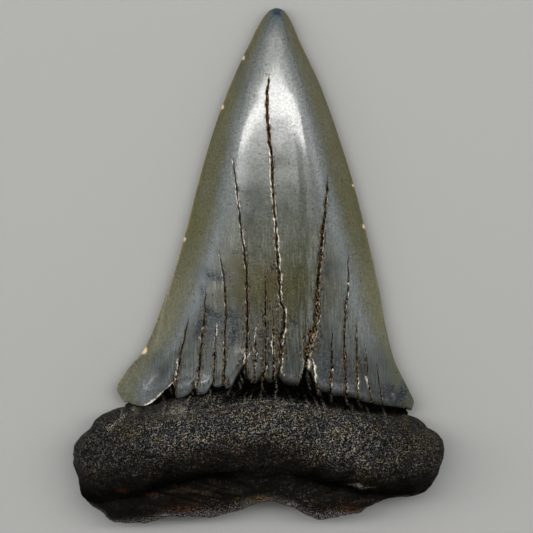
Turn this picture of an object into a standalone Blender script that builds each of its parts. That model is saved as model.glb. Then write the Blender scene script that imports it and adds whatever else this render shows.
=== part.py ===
"""A fossil mako shark tooth, lying on its flat labial face.

X runs across the tooth, +Y from the root towards the tip, and +Z up out of the convex lingual face.
The tooth is one grown body, so it is one closed solid: a loft of rows that runs from the tip, over
the enamel crown, the neck and the thick roll of the root, to the thinner plate at the root's base.

A place on the tooth is given by two parameters:
  v, the station along it: 0 tip, 1 lower edge of the enamel, 2 top of the root, 3 ledge, 4 base
  u, the share across it: -1 left edge, 0 middle, 1 right edge
"""

import bpy
import numpy as np

MM = 0.001

# Driving dimensions, in millimetres
TIP = (2.45, 35.15)
SEAM_TIP = 1.5  # height over the table at which the two faces meet, at the tip
SEAM_CROWN = 1.6  # along the cutting edges
SEAM_ROOT = 4.4  # at the sides of the root
SEAM_BASE = 4.0  # along the root's base
GROOVE_HALF_WIDTH = 0.24  # of a crack in the enamel
LIP = 0.3  # the enamel stands this much proud of the neck
BACK_LIP = 0.45  # and this much on the flat face
LUMP = 0.16  # height of the root's uneven lumps
HOLLOW = 0.7  # depth of the hollow in the middle of the root's flat face
HOLLOW_MIDDLE, HOLLOW_WIDTH = 1.0, 4.5
ARCH = 4.0  # how far the enamel's edge arches up in the middle
COLUMN_GAP = 1.55  # between columns of the mesh, at the enamel's edge

# Outline of each side, from the tip down, split where a station lies
LEFT_SIDE = (
    (TIP, (1.25, 34.5), (-1.45, 29.75), (-4.9, 21.8), (-7.55, 13.4), (-10.1, 3.6), (-12.4, -3.7),
     (-15.4, -11.4), (-18.1, -14.85), (-19.2, -17.0), (-18.25, -18.75)),
    ((-18.25, -18.75), (-18.0, -19.2)),
    ((-18.0, -19.2), (-19.0, -19.4), (-21.2, -20.3), (-22.2, -21.2), (-22.5, -21.8), (-24.1, -23.1),
     (-25.05, -25.2), (-25.0, -26.6), (-24.35, -28.9), (-23.9, -31.2)),
    ((-23.9, -31.2), (-23.2, -32.0), (-22.7, -32.65)),
)
RIGHT_SIDE = (
    (TIP, (3.7, 34.4), (5.6, 30.4), (8.25, 24.7), (10.6, 18.2), (12.8, 11.15), (14.75, 3.6),
     (16.2, -2.75), (17.2, -8.4), (18.25, -12.65), (20.5, -17.45), (21.05, -18.8), (20.7, -19.9)),
    ((20.7, -19.9), (19.95, -20.45)),
    ((19.95, -20.45), (21.8, -20.9), (23.0, -22.05), (23.7, -22.35), (24.85, -23.65), (25.05, -24.9),
     (24.65, -27.4), (23.65, -29.3), (22.6, -30.5)),
    ((22.6, -30.5), (21.3, -31.05)),
)

# Lines across the tooth from its left side to its right, as points (x, y)
ENAMEL_EDGE = (
    (-18.25, -18.75), (-15.7, -19.1), (-14.0, -18.3), (-12.4, -16.9), (-11.4, -15.6), (-10.6, -17.6),
    (-9.3, -16.9), (-8.3, -15.6), (-7.4, -16.7), (-5.4, -15.1), (-3.6, -15.3), (-1.8, -12.6),
    (-0.6, -14.8), (0.9, -13.8), (2.5, -15.5), (3.6, -14.8), (5.4, -15.2), (6.4, -13.8),
    (8.4, -16.2), (11.4, -17.3), (14.2, -18.1), (17.1, -19.3), (20.7, -19.9),
)
BACK_ENAMEL_EDGE = (
    (-18.25, -18.75), (-12.0, -18.6), (-4.0, -17.5), (1.0, -17.2), (6.0, -17.6), (12.0, -18.8),
    (20.7, -19.9),
)
ROOT_TOP = (
    (-18.0, -19.2), (-12.0, -19.1), (-4.4, -18.2), (1.5, -17.4), (5.0, -17.8), (13.0, -19.3),
    (19.95, -20.45),
)
LEDGE = (
    (-23.9, -31.2), (-22.0, -31.6), (-18.8, -31.0), (-10.6, -28.4), (-5.2, -27.4), (1.1, -27.0),
    (5.6, -27.5), (9.7, -28.8), (14.4, -29.9), (18.5, -30.3), (22.6, -30.5),
)
BASE = (
    (-22.7, -32.65), (-21.2, -33.6), (-19.2, -34.85), (-17.2, -35.15), (-10.7, -34.2), (-6.0, -34.2),
    (-3.2, -33.4), (-1.0, -32.5), (1.15, -32.0), (4.2, -32.6), (8.3, -34.7), (9.55, -34.4),
    (13.4, -33.6), (16.2, -31.9), (17.6, -31.2), (21.3, -31.05),
)

# Cracks in the enamel, each as points (x, y) from its edge upwards, and the crack's depth
CRACKS = (
    (((-11.4, -15.6), (-10.4, -12.3), (-9.4, -5.6)), 0.16),
    (((-8.3, -15.6), (-7.7, -9.8), (-7.2, -1.9)), 0.16),
    (((-4.5, -14.6), (-4.4, -6.2), (-5.0, 1.0), (-5.5, 3.6)), 0.2),
    (((-1.8, -12.6), (-1.5, -6.5), (-1.9, 2.9), (-2.9, 11.1), (-3.6, 16.1)), 0.3),
    (((2.5, -15.5), (3.0, -10.6), (3.5, -5.6), (2.8, -0.3), (1.9, 11.4), (1.2, 22.0), (1.5, 27.4)), 0.4),
    (((6.4, -13.8), (6.6, -10.7), (7.9, -4.0), (8.6, 5.4), (9.4, 13.8)), 0.34),
    (((11.8, -16.2), (11.6, -9.9), (12.1, -2.0), (12.1, 2.0)), 0.2),
)
CRACK_OPENS_IN = 5.0  # length from a crack's upper end to where it is fully open

# Shape along the tooth, as (station, value). MIDDLE is the height of the lingual face
MIDDLE = (
    (0.0, SEAM_TIP), (0.012, 2.2), (0.035, 2.95), (0.08, 3.9), (0.155, 5.0), (0.27, 6.3), (0.4, 7.35),
    (0.55, 8.3), (0.72, 9.2), (0.86, 9.8), (0.97, 10.15), (1.0, 10.15), (1.25, 9.75), (1.6, 9.55),
    (1.9, 9.85), (2.06, 10.4), (2.2, 11.6), (2.4, 12.8), (2.58, 13.1), (2.76, 12.5), (2.9, 11.5),
    (3.0, 10.9), (3.3, 10.0), (4.0, 9.2),
)
SEAM = (
    (0, SEAM_TIP), (0.5, SEAM_CROWN), (0.9, SEAM_CROWN), (1.0, 1.9), (2.0, 3.4), (2.35, SEAM_ROOT),
    (3.2, SEAM_ROOT), (4.0, SEAM_BASE),
)
# How far the plate under the ledge is set back, along the tooth and as a share across it
SET_BACK = ((0, 0), (2.84, 0), (2.95, 1.0), (3.02, 2.1), (3.12, 1.7), (3.5, 1.1), (4.0, 0.8))
SET_BACK_ACROSS = (
    (-25, 0.2), (-20, 0.9), (-14, 1.15), (-8, 1.0), (-3, 0.6), (1, 0.4), (6, 0.9), (11, 1.2),
    (15, 0.8), (19, 0.2), (25, 0),
)
# A cross-section's height is (1 - |u| ** ROUNDNESS) ** SHARPNESS: a lens on the crown, full on the root
ROUNDNESS = ((0, 2.0), (0.95, 2.0), (2.2, 2.6), (4, 2.8))
SHARPNESS = ((0, 0.75), (0.05, 1.0), (0.3, 1.15), (0.95, 1.15), (1.6, 0.75), (2.2, 0.45), (4, 0.42))
BASE_ROUNDING = 3.3  # station where the root starts to round off towards its base
# How far the flat face swells down to the table: from 1 up it rests flat on it
BACK_SWELL_CROWN = ((0, 0), (0.02, 0.5), (0.06, 0.78), (0.12, 0.93), (0.35, 1.08), (1.0, 1.08))
BACK_SWELL_ROOT = 1.1

STATIONS = np.concatenate([
    [0.012, 0.03, 0.052],
    np.linspace(0.08, 0.955, 23),
    [0.985, 1.0, 1.06, 1.35, 1.7, 2.0],
    np.linspace(2.08, 2.84, 9),
    [2.93, 3.0, 3.06, 3.2, 3.4, 3.6, 3.76, 3.88, 3.96, 4.0],
])
EDGE_SHARES = (0.04, 0.12, 0.24)  # columns next to the sides, where each face rounds off to the seam


def through(points, at):
    """Smooth curve through points (knot, value), read at `at`. Between two knots it is a cubic,
    whose end slopes are the harmonic mean of the neighbouring rises, so that it never overshoots."""
    knots, values = np.array(points, float).T
    step = np.diff(knots)
    rise = np.diff(values) / step
    before, after = rise[:-1], rise[1:]
    total = np.where(before * after > 0, before + after, 1)
    mean = np.where(before * after > 0, 2 * before * after / total, 0)
    slope = np.concatenate([rise[:1], mean, rise[-1:]])
    i = np.clip(np.searchsorted(knots, at, side="right") - 1, 0, len(step) - 1)
    t = np.clip((at - knots[i]) / step[i], 0, 1)
    return (
        values[i] * (1 + 2 * t) * (1 - t) ** 2
        + values[i + 1] * (3 - 2 * t) * t**2
        + step[i] * (slope[i] * t * (1 - t) ** 2 - slope[i + 1] * t**2 * (1 - t))
    )


def ease(at, start, end):
    """0 up to start, 1 from end on, and an S-shaped curve between them."""
    t = np.clip((at - start) / (end - start), 0, 1)
    return t * t * (3 - 2 * t)


def side_at(side, v):
    """(x, y) of one side of the outline at stations v. Each stretch between two whole stations is
    followed at an even pace along its length."""
    at = np.empty((len(v), 2))
    for station, stretch in enumerate(side):
        points = np.array(stretch)
        run = np.concatenate([[0], np.cumsum(np.hypot(*np.diff(points, axis=0).T))])
        here = (v >= station) & (v <= station + 1)
        along = (v[here] - station) * run[-1]
        for axis in (0, 1):
            at[here, axis] = through(np.column_stack([run, points[:, axis]]), along)
    return at


def bow(line, u):
    """How far a line across the tooth stands above the straight chord between its ends."""
    (x0, y0), (x1, y1) = line[0], line[-1]
    share = (u + 1) / 2
    return through(line, x0 + (x1 - x0) * share) - (y0 + (y1 - y0) * share)


def row_bow(u, v, enamel_edge):
    """Height of row v above its chord. Over the crown the rows arch more and more, and take on the
    scallops of the enamel's edge close to it. Below, each row lies between two of the lines."""
    lines = [bow(line, u) for line in (enamel_edge, ROOT_TOP, LEDGE, BASE)]
    arch = ARCH * (1 - u * u)
    height = arch * np.clip(v, 0, 1) ** 2 + (lines[0] - arch) * ease(v, 0.93, 1.0)
    for station, (upper, lower) in enumerate(zip(lines, lines[1:]), start=1):
        height = np.where(v >= station, upper + (lower - upper) * (v - station), height)
    return height


def place(u, v, left, right, enamel_edge):
    """Plan position of (u, v): a point on the chord between the two sides, bowed."""
    share = (u + 1) / 2
    x = left[:, :1] + (right - left)[:, :1] * share
    y = left[:, 1:] + (right - left)[:, 1:] * share + row_bow(u, v, enamel_edge)
    return x, y


def crack_at(path, v, left, right):
    """u of a crack at each row, and how open it is there, from 0 to 1. Past its ends the column
    that follows the crack keeps the share of the width that it has at that end."""
    points = np.array(path)[:, ::-1]
    upper_end = points[-1, 0]
    u = np.zeros_like(v)
    for _ in range(4):
        y = place(u, v, left, right, ENAMEL_EDGE)[1]
        x = through(points, y)
        u = (2 * x - left[:, :1] - right[:, :1]) / (right - left)[:, :1]
    first, last = np.flatnonzero((y <= upper_end) & (v <= 1))[[0, -1]]
    kept = np.clip(np.arange(len(v)), first, last)
    openness = np.where(v <= 1, ease(upper_end - y, 0, CRACK_OPENS_IN), 0)
    return u[kept, 0], openness[:, 0]


def column_plan(gaps):
    """The columns from left to right, as (k, share, lip). The tooth's lines are its left side, its
    cracks and its right side, and a column lies at `share` of the way from line k to the next one.
    Three follow each crack: its lips, at -1 and 1, and its bottom. `gaps` are the widths between lines."""
    plan = [(0, 0.0, 0)]
    for k, gap in enumerate(gaps):
        count = max(1, round(gap / COLUMN_GAP))
        shares = np.arange(1, count) / count
        if k == 0:
            shares = [*EDGE_SHARES, *shares[shares > EDGE_SHARES[-1] + 0.1]]
        if k == len(CRACKS):
            shares = [*shares[shares < 0.9 - EDGE_SHARES[-1]], *(1 - np.array(EDGE_SHARES[::-1]))]
        plan += [(k, share, 0) for share in shares]
        plan += [(k, 1.0, lip) for lip in ((-1, 0, 1) if k < len(CRACKS) else (0,))]
    return plan


def columns(v, left, right):
    """u of every column at every row, its depth in a crack there, and which columns both faces have."""
    width = (right - left)[:, :1]
    side = np.ones(len(v))
    followed = [crack_at(path, v, left, right) for path, _ in CRACKS]
    lines = np.column_stack([-side, *(u for u, _ in followed), side])
    openness = np.column_stack([*(share for _, share in followed), 0 * side])
    depths = np.array([depth for _, depth in CRACKS] + [0])
    plan = np.array(column_plan(np.diff(lines[-1]) * width.max() / 2))
    gap, share, lip = plan[:, 0].astype(int), plan[:, 1], plan[:, 2]
    half_groove = np.minimum(2 * GROOVE_HALF_WIDTH / width, 0.03) * (1 + ease(v, 1, 2))
    u = lines[:, gap] + (lines[:, gap + 1] - lines[:, gap]) * share + half_groove * lip
    at_bottom = (share == 1) & (lip == 0)
    return u, openness[:, gap] * depths[gap] * at_bottom, np.flatnonzero(lip == 0)


def lumps(x, y):
    """Uneven ground of the root: crossed waves, between -1 and 1."""
    long_waves = np.sin(0.9 * x + 0.4 * y + 1.0) * np.cos(1.1 * y - 0.3 * x)
    short_waves = np.sin(1.9 * x - 0.8 * y) * np.sin(1.6 * y + 0.5 * x + 2.0)
    return (long_waves + 0.6 * short_waves) / 1.6


def fullness(u, v):
    """Share of the lingual face's full height at (u, v)."""
    across = (1 - np.abs(u) ** through(ROUNDNESS, v)) ** through(SHARPNESS, v)
    return across * base_rounding(v)


def base_rounding(v):
    """Quarter circle that brings the root's two faces together at its base."""
    return np.sqrt(1 - np.clip((v - BASE_ROUNDING) / (4 - BASE_ROUNDING), 0, 1) ** 2)


def lingual_height(u, v, x, y, crack_depth):
    """Height of the convex face: the middle's height, spread over the cross-section."""
    seam = through(SEAM, v)
    under_lip = LIP * ease(v, 1.0, 1.05) * (1 - ease(v, 1.5, 2.0))
    middle = through(MIDDLE, v) - through(SET_BACK, v) * through(SET_BACK_ACROSS, x) - under_lip
    uneven = LUMP * lumps(x, y) * ease(v, 1.9, 2.3)
    return seam + (middle - seam + uneven) * fullness(u, v) - crack_depth


def labial_height(u, v, x):
    """Height of the flat face: it swells down until it meets the table, and stays flat there."""
    seam = through(SEAM, v)
    crown = through(BACK_SWELL_CROWN, np.minimum(v, 1)) * (1 - u * u)
    rooted = BACK_SWELL_ROOT * (1 - u**4) ** 0.5 * base_rounding(v)
    swell = crown + (rooted - crown) * ease(v, 0.95, 1.6)
    under_lip = BACK_LIP * ease(v, 1.0, 1.05) * (1 - ease(v, 1.5, 2.6))
    hollow = HOLLOW * np.exp(-(((x - HOLLOW_MIDDLE) / HOLLOW_WIDTH) ** 2)) * ease(v, 1.2, 3.0)
    return seam * (1 - np.minimum(swell, 1)) + (under_lip + hollow) * (1 - u**4) * base_rounding(v)


def bands(upper, lower, facing_up):
    """Faces between neighbouring rows of point numbers, turned to face up or down."""
    a, b, c, d = upper[:, :-1], upper[:, 1:], lower[:, 1:], lower[:, :-1]
    corners = (a, d, c, b) if facing_up else (a, b, c, d)
    return np.stack(corners, axis=-1).reshape(-1, 4).tolist()


def base_band(row, seam, shared):
    """Faces between the flat face's last row and the seam, which has columns that the row skips."""
    ends = list(enumerate(zip(shared, shared[1:])))
    return [[row[i], row[i + 1], *seam[first : last + 1][::-1]] for i, (first, last) in ends]


def tooth_mesh():
    """Points and faces of the closed loft. Each row has a lingual and a labial line of points that
    share their ends. All rows meet in one point at the tip, and the last two lines are one seam."""
    v = STATIONS[:, None]
    left, right = side_at(LEFT_SIDE, STATIONS), side_at(RIGHT_SIDE, STATIONS)
    u, crack_depth, shared = columns(v, left, right)
    x, y = place(u, v, left, right, ENAMEL_EDGE)
    front = np.dstack([x, y, lingual_height(u, v, x, y, crack_depth)])
    u = u[:, shared]
    x, y = place(u, v, left, right, BACK_ENAMEL_EDGE)
    back = np.dstack([x, y, labial_height(u, v, x)])[:-1, 1:-1]
    points = np.vstack([[(*TIP, SEAM_TIP)], front.reshape(-1, 3), back.reshape(-1, 3)])

    front_rows = 1 + np.arange(front[..., 0].size).reshape(front.shape[:2])
    inner = 1 + front_rows[-1, -1] + np.arange(back[..., 0].size).reshape(back.shape[:2])
    back_rows = np.column_stack([front_rows[:-1, 0], inner, front_rows[:-1, -1]])
    first, last = front_rows[0].tolist(), back_rows[-1].tolist()
    faces = [[0, a, b] for a, b in zip(first, first[1:])]
    faces += [[0, b, a] for a, b in zip(back_rows[0].tolist(), back_rows[0, 1:].tolist())]
    faces += bands(front_rows[:-1], front_rows[1:], facing_up=True)
    faces += bands(back_rows[:-1], back_rows[1:], facing_up=False)
    faces += base_band(last, front_rows[-1].tolist(), shared)
    return points, faces


def finish(name, colour, roughness):
    """A plain, non-metallic surface."""
    material = bpy.data.materials.new(name)
    material.use_nodes = True
    shader = material.node_tree.nodes["Principled BSDF"]
    shader.inputs["Base Color"].default_value = (*colour, 1)
    shader.inputs["Roughness"].default_value = roughness
    shader.inputs["Metallic"].default_value = 0
    return material


def enamel_faces(mesh, points):
    """Whether each face lies above the enamel's edge, by its middle."""
    middles = np.array([points[list(face.vertices)].mean(axis=0) for face in mesh.polygons])
    edges = through(ENAMEL_EDGE, middles[:, 0]), through(BACK_ENAMEL_EDGE, middles[:, 0])
    facing_up = np.array([face.normal.z > 0 for face in mesh.polygons])
    return middles[:, 1] > np.where(facing_up, *edges)


def make_tooth(collection):
    points, faces = tooth_mesh()
    mesh = bpy.data.meshes.new("tooth")
    mesh.from_pydata((points * MM).tolist(), [], faces)
    mesh.materials.append(finish("fossil_root", (0.02, 0.019, 0.018), 0.7))
    mesh.materials.append(finish("fossil_enamel", (0.12, 0.15, 0.17), 0.25))
    mesh.polygons.foreach_set("material_index", enamel_faces(mesh, points).astype(int))
    mesh.shade_smooth()
    mesh.set_sharp_from_angle(angle=np.radians(50))
    tooth = bpy.data.objects.new("tooth", mesh)
    collection.objects.link(tooth)


def main():
    for thing in list(bpy.data.objects):
        bpy.data.objects.remove(thing, do_unlink=True)
    collection = bpy.data.collections.new("mako_shark_tooth")
    bpy.context.scene.collection.children.link(collection)
    make_tooth(collection)


main()
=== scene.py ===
# %% [markdown]
# # A fossil shark tooth
#
# The real thing is one tooth of an extinct mako shark, some millions of years old. A cap of glossy
# enamel covers its crown, and the porous bone of the root holds it in the jaw. It lies on its flat
# outer face, so this lesson looks down on the rounded inner face, with the tip pointing along +Y.
#
# A natural form like this could be sculpted by hand, but a tooth is close to a rule: a pointed
# outline, a lens-shaped cross-section and a thick roll at the root. So both surfaces are worked out
# as functions of two parameters, and numpy turns them into meshes.

import bpy
import numpy as np
from mathutils import Matrix, Vector


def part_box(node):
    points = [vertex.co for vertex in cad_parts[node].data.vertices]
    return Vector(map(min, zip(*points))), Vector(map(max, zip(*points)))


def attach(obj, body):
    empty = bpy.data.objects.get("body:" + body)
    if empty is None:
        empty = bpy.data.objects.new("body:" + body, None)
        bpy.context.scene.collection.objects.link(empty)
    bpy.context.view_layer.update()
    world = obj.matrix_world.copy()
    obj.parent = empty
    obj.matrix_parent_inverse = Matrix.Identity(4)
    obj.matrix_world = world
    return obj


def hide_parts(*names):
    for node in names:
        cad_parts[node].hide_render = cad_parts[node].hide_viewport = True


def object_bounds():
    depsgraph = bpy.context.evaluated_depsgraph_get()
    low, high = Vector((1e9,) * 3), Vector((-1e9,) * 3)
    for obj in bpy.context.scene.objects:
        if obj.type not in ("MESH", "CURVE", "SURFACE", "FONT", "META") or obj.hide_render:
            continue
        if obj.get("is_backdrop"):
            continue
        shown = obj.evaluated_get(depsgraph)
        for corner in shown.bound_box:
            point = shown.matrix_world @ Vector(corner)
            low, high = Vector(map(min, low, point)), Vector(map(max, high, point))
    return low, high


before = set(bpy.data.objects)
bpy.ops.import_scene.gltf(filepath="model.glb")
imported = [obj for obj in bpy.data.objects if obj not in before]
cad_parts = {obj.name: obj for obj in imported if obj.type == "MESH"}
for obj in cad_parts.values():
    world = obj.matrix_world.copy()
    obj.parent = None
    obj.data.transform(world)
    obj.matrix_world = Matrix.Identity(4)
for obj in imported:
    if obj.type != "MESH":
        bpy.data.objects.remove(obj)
cad_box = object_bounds()
MM = 0.001
tooth_low, tooth_high = (np.array(corner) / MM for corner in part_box("tooth"))
print("solid of the tooth, in mm:", (tooth_high - tooth_low).round(1))

# %% [markdown]
# ## Three small tools
#
# Most of the tooth's shape is given by a few values along a line. `through` draws a smooth curve
# through them that never overshoots, so that a flat stretch stays flat. `ease` fades one thing into
# the next, and `bell` is a soft bump. Everything here is in millimetres until it becomes a mesh.


# %% Curves through a few values
def through(points, at):
    """Smooth curve through points (knot, value), read at `at`. Between two knots it is a cubic,
    whose end slopes are the harmonic mean of the neighbouring rises, so that it never overshoots."""
    knots, values = np.array(points, float).T
    step = np.diff(knots)
    rise = np.diff(values) / step
    before, after = rise[:-1], rise[1:]
    total = np.where(before * after > 0, before + after, 1)
    mean = np.where(before * after > 0, 2 * before * after / total, 0)
    slope = np.concatenate([rise[:1], mean, rise[-1:]])
    i = np.clip(np.searchsorted(knots, at, side="right") - 1, 0, len(step) - 1)
    t = np.clip((at - knots[i]) / step[i], 0, 1)
    start = values[i] * (1 + 2 * t) * (1 - t) ** 2 + step[i] * slope[i] * t * (1 - t) ** 2
    end = values[i + 1] * (3 - 2 * t) * t**2 - step[i] * slope[i + 1] * t**2 * (1 - t)
    return start + end


def ease(at, start, end):
    """0 up to start, 1 from end on, and an S-shaped curve between them."""
    t = np.clip((at - start) / (end - start), 0, 1)
    return t * t * (3 - 2 * t)


def bell(distance, width):
    """1 at no distance, fading with the square of the distance over the width."""
    return np.exp(-((distance / width) ** 2))


# %% [markdown]
# ## The outline
#
# Seen from above, the tooth is a tall curved triangle on a wide, lumpy root. A place on it has two
# parameters: v runs along it, and is 0 at the tip, 1 at the enamel's lower edge, 2 at the top of the
# root, 3 at the ledge under its roll and 4 at its base. u runs across it, from -1 to 1. The two
# sides and the lines across the tooth are lists of (x, y) points.

# %% Sides and lines of the tooth
TIP = (2.45, 35.15)
LEFT_SIDE = (
    (TIP, (1.25, 34.5), (-1.45, 29.75), (-4.9, 21.8), (-7.55, 13.4), (-10.1, 3.6), (-12.4, -3.7),
     (-15.4, -11.4), (-18.1, -14.85), (-19.2, -17), (-18.25, -18.75)),
    ((-18.25, -18.75), (-18, -19.2)),
    ((-18, -19.2), (-19, -19.4), (-21.2, -20.3), (-22.2, -21.2), (-22.5, -21.8), (-24.1, -23.1),
     (-25.05, -25.2), (-25, -26.6), (-24.35, -28.9), (-23.9, -31.2)),
    ((-23.9, -31.2), (-23.2, -32), (-22.7, -32.65)),
)
RIGHT_SIDE = (
    (TIP, (3.7, 34.4), (5.6, 30.4), (8.25, 24.7), (10.6, 18.2), (12.8, 11.15), (14.75, 3.6),
     (16.2, -2.75), (17.2, -8.4), (18.25, -12.65), (20.5, -17.45), (21.05, -18.8), (20.7, -19.9)),
    ((20.7, -19.9), (19.95, -20.45)),
    ((19.95, -20.45), (21.8, -20.9), (23, -22.05), (23.7, -22.35), (24.85, -23.65), (25.05, -24.9),
     (24.65, -27.4), (23.65, -29.3), (22.6, -30.5)),
    ((22.6, -30.5), (21.3, -31.05)),
)
# The enamel ends in rounded tongues between the cracks, so this line jumps at each of them
ENAMEL_EDGE = (
    (-18.25, -18.75), (-17, -19.05), (-15.6, -19.35), (-15, -19.1), (-14.3, -18.65), (-12.9, -17.2),
    (-11.9, -16.2), (-11.55, -15.8), (-11.2, -17.7), (-10.1, -17.4), (-9.3, -16.8), (-8.55, -16),
    (-8.35, -16.9), (-7.4, -16.7), (-6.8, -16.2), (-6.25, -15.3), (-6.05, -15.6), (-5.4, -15.6),
    (-4.75, -15.3), (-4.4, -15.7), (-3.7, -15.4), (-2.9, -14), (-2.2, -12.8), (-1.8, -12.3),
    (-1.55, -13.9), (-1.1, -14.6), (-0.6, -14.8), (0, -14.4), (0.5, -13.6), (0.9, -14.3), (1.7, -14.6),
    (2.4, -14.3), (2.6, -13.8), (3, -14.3), (3.5, -14.8), (4.4, -15.1), (5.3, -15.15), (5.8, -14.4),
    (6.2, -12.9), (6.9, -13.3), (7.5, -14.8), (7.8, -15.5), (8.6, -16.2), (9.4, -16.4), (9.9, -16.8),
    (10.8, -17), (11.6, -17.1), (12.1, -17.3), (13.2, -17.6), (13.7, -17.9), (14.8, -18.4), (15.6, -18.7),
    (16.8, -19.1), (18.6, -19.5), (20.7, -19.9),
)
UNDER_ENAMEL = (
    (-18.25, -18.75), (-15.8, -19.25), (-14.2, -18.7), (-12.5, -17.9), (-9, -16.9), (-4, -15.5),
    (1, -14.7), (6, -15.4), (11, -17), (16, -18.6), (20.7, -19.9),
)
BACK_ENAMEL_EDGE = (
    (-18.25, -18.75), (-12, -18.6), (-4, -17.5), (1, -17.2), (6, -17.6), (12, -18.8), (20.7, -19.9),
)
ROOT_TOP = (
    (-18, -19.2), (-15.4, -19.6), (-12, -19.3), (-4.4, -18.2), (1.5, -17.4), (5, -17.8), (13, -19.3),
    (19.95, -20.45),
)
LEDGE = (
    (-23.9, -31.2), (-22, -31.6), (-18.8, -31), (-10.6, -28.4), (-5.2, -27.4), (1.1, -27), (5.6, -27.5),
    (9.7, -28.8), (14.4, -29.9), (18.5, -30.3), (22.6, -30.5),
)
BASE = (
    (-22.7, -32.65), (-21.2, -33.6), (-19.2, -34.85), (-17.2, -35.15), (-10.7, -34.2), (-6, -34.2),
    (-3.2, -33.4), (-1, -32.5), (1.15, -32), (4.2, -32.6), (8.3, -34.7), (9.55, -34.4), (13.4, -33.6),
    (16.2, -31.9), (17.6, -31.2), (21.3, -31.05),
)
ARCH = 4  # how far the rows of the crown arch up in the middle
EDGE_PULLS_FROM = 0.86  # from here on, the rows take on the shape of the enamel's edge


# %% From parameters to a place seen from above
def side_at(side, v):
    """(x, y) of one side at stations v, at an even pace along each stretch between whole stations."""
    at = np.empty((len(v), 2))
    for station, stretch in enumerate(side):
        points = np.array(stretch)
        run = np.concatenate([[0], np.cumsum(np.hypot(*np.diff(points, axis=0).T))])
        here = (v >= station) & (v <= station + 1)
        along = (v[here] - station) * run[-1]
        for axis in (0, 1):
            at[here, axis] = through(np.column_stack([run, points[:, axis]]), along)
    return at


def bow(line, u):
    """How far a line across the tooth stands above the straight chord between its ends."""
    (x0, y0), (x1, y1) = line[0], line[-1]
    share = (u + 1) / 2
    return through(line, x0 + (x1 - x0) * share) - (y0 + (y1 - y0) * share)


def place(u, v, enamel_edge):
    """Plan position of (u, v), and half the tooth's width there. A row is the chord between the two
    sides, plus a bow. The crown's rows arch, and take on the enamel's edge close to it: each column
    by what it has at the edge itself. Below it, each row lies between two of the lines."""
    left, right = side_at(LEFT_SIDE, v), side_at(RIGHT_SIDE, v)
    v = v[:, None]
    at_edge = u[-1:] if v[-1] <= 1 else u
    lines = [bow(enamel_edge, at_edge), *(bow(line, u) for line in (ROOT_TOP, LEDGE, BASE))]
    arch = ARCH * (1 - u * u)
    height = arch * np.clip(v, 0, 1) ** 2 + (lines[0] - arch) * ease(v, EDGE_PULLS_FROM, 1)
    for station, (upper, lower) in enumerate(zip(lines, lines[1:]), start=1):
        height = np.where(v >= station, upper + (lower - upper) * (v - station), height)
    (x, y), (wide, rise) = left.T[..., None], (right - left).T[..., None]
    share = (u + 1) / 2
    return x + wide * share, y + rise * share + height, wide / 2


# %% [markdown]
# ## Heights
#
# The inner face bulges and the outer face is nearly flat, and they meet in a thin seam all round.
# Across the tooth the height follows (1 - |u|^p)^q: a lens on the crown, and a full roll on the root.
# Along the tooth, MIDDLE gives the height of its ridge line, up the crown and over the roll.

# %% Heights along the tooth
SEAM_TIP = 1.5
LIP, BACK_LIP = 0.3, 0.45  # how far the enamel stands proud of the root, on the two faces
HOLLOW, HOLLOW_MIDDLE, HOLLOW_WIDTH = 0.7, 1, 4.5  # in the flat face of the root
MIDDLE = (
    (0, SEAM_TIP), (0.012, 2.2), (0.035, 2.95), (0.08, 3.9), (0.155, 5), (0.21, 5.68), (0.27, 6.32),
    (0.33, 6.86), (0.4, 7.38), (0.55, 8.33), (0.72, 9.22), (0.8, 9.55), (0.86, 9.77), (0.92, 9.95),
    (0.97, 10.04), (1, 10.06), (1.25, 9.75), (1.6, 9.55), (1.9, 9.85), (2.06, 10.4), (2.2, 11.6),
    (2.4, 12.8), (2.58, 13.1), (2.76, 12.5), (2.9, 11.5), (3, 10.9), (3.3, 10), (4, 9.2),
)
SEAM = ((0, SEAM_TIP), (0.5, 1.6), (0.9, 1.6), (1, 1.9), (2, 3.4), (2.35, 4.4), (3.2, 4.4), (4, 4))
# How far the plate under the ledge is set back, along the tooth and as a share across it
SET_BACK = ((0, 0), (2.84, 0), (2.95, 1), (3.02, 2.1), (3.12, 1.7), (3.5, 1.1), (4, 0.8))
SET_BACK_ACROSS = (
    (-25, 0.2), (-20, 0.9), (-14, 1.15), (-8, 1), (-3, 0.6), (1, 0.4), (6, 0.9), (11, 1.2), (15, 0.8),
    (19, 0.2), (25, 0),
)
ROUNDNESS = ((0, 2), (0.1, 2.5), (0.22, 3.1), (0.45, 2.7), (0.7, 2.2), (0.95, 2), (2.2, 2.6), (4, 2.8))
SHARPNESS = ((0, 0.75), (0.05, 1), (0.3, 1.15), (0.95, 1.15), (1.6, 0.75), (2.2, 0.45), (4, 0.42))
# Towards the enamel's edge both sides flare into a thin foot: its width beside the bulge, and height
FOOT_LEFT = (
    (0, 0), (0.6, 0), (0.71, 0.08), (0.77, 0.4), (0.85, 1.4), (0.926, 3.9), (0.966, 4.9), (1, 4.1),
    (1.35, 3.6), (2, 0),
)
FOOT_RIGHT = (
    (0, 0), (0.6, 0), (0.8, 0.25), (0.866, 0.65), (0.956, 2.3), (0.98, 2.7), (1, 2.4), (1.35, 1.9),
    (2, 0),
)
FOOT_HEIGHT = ((0, 0), (0.35, 0), (0.95, 0.35), (1.3, 0.35), (2, 0))
FOOT_CORNER = 0.004  # rounds the corner between bulge and foot
BASE_ROUNDING = 3.3  # the two faces of the root come together from here on
BACK_SWELL_CROWN = ((0, 0), (0.02, 0.5), (0.06, 0.78), (0.12, 0.93), (0.35, 1.08), (1, 1.08))
BACK_SWELL_ROOT = 1.1


# %% Height of both faces
def base_rounding(v):
    """Quarter circle that brings the root's two faces together at its base."""
    return np.sqrt(1 - np.clip((v - BASE_ROUNDING) / (4 - BASE_ROUNDING), 0, 1) ** 2)


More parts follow.
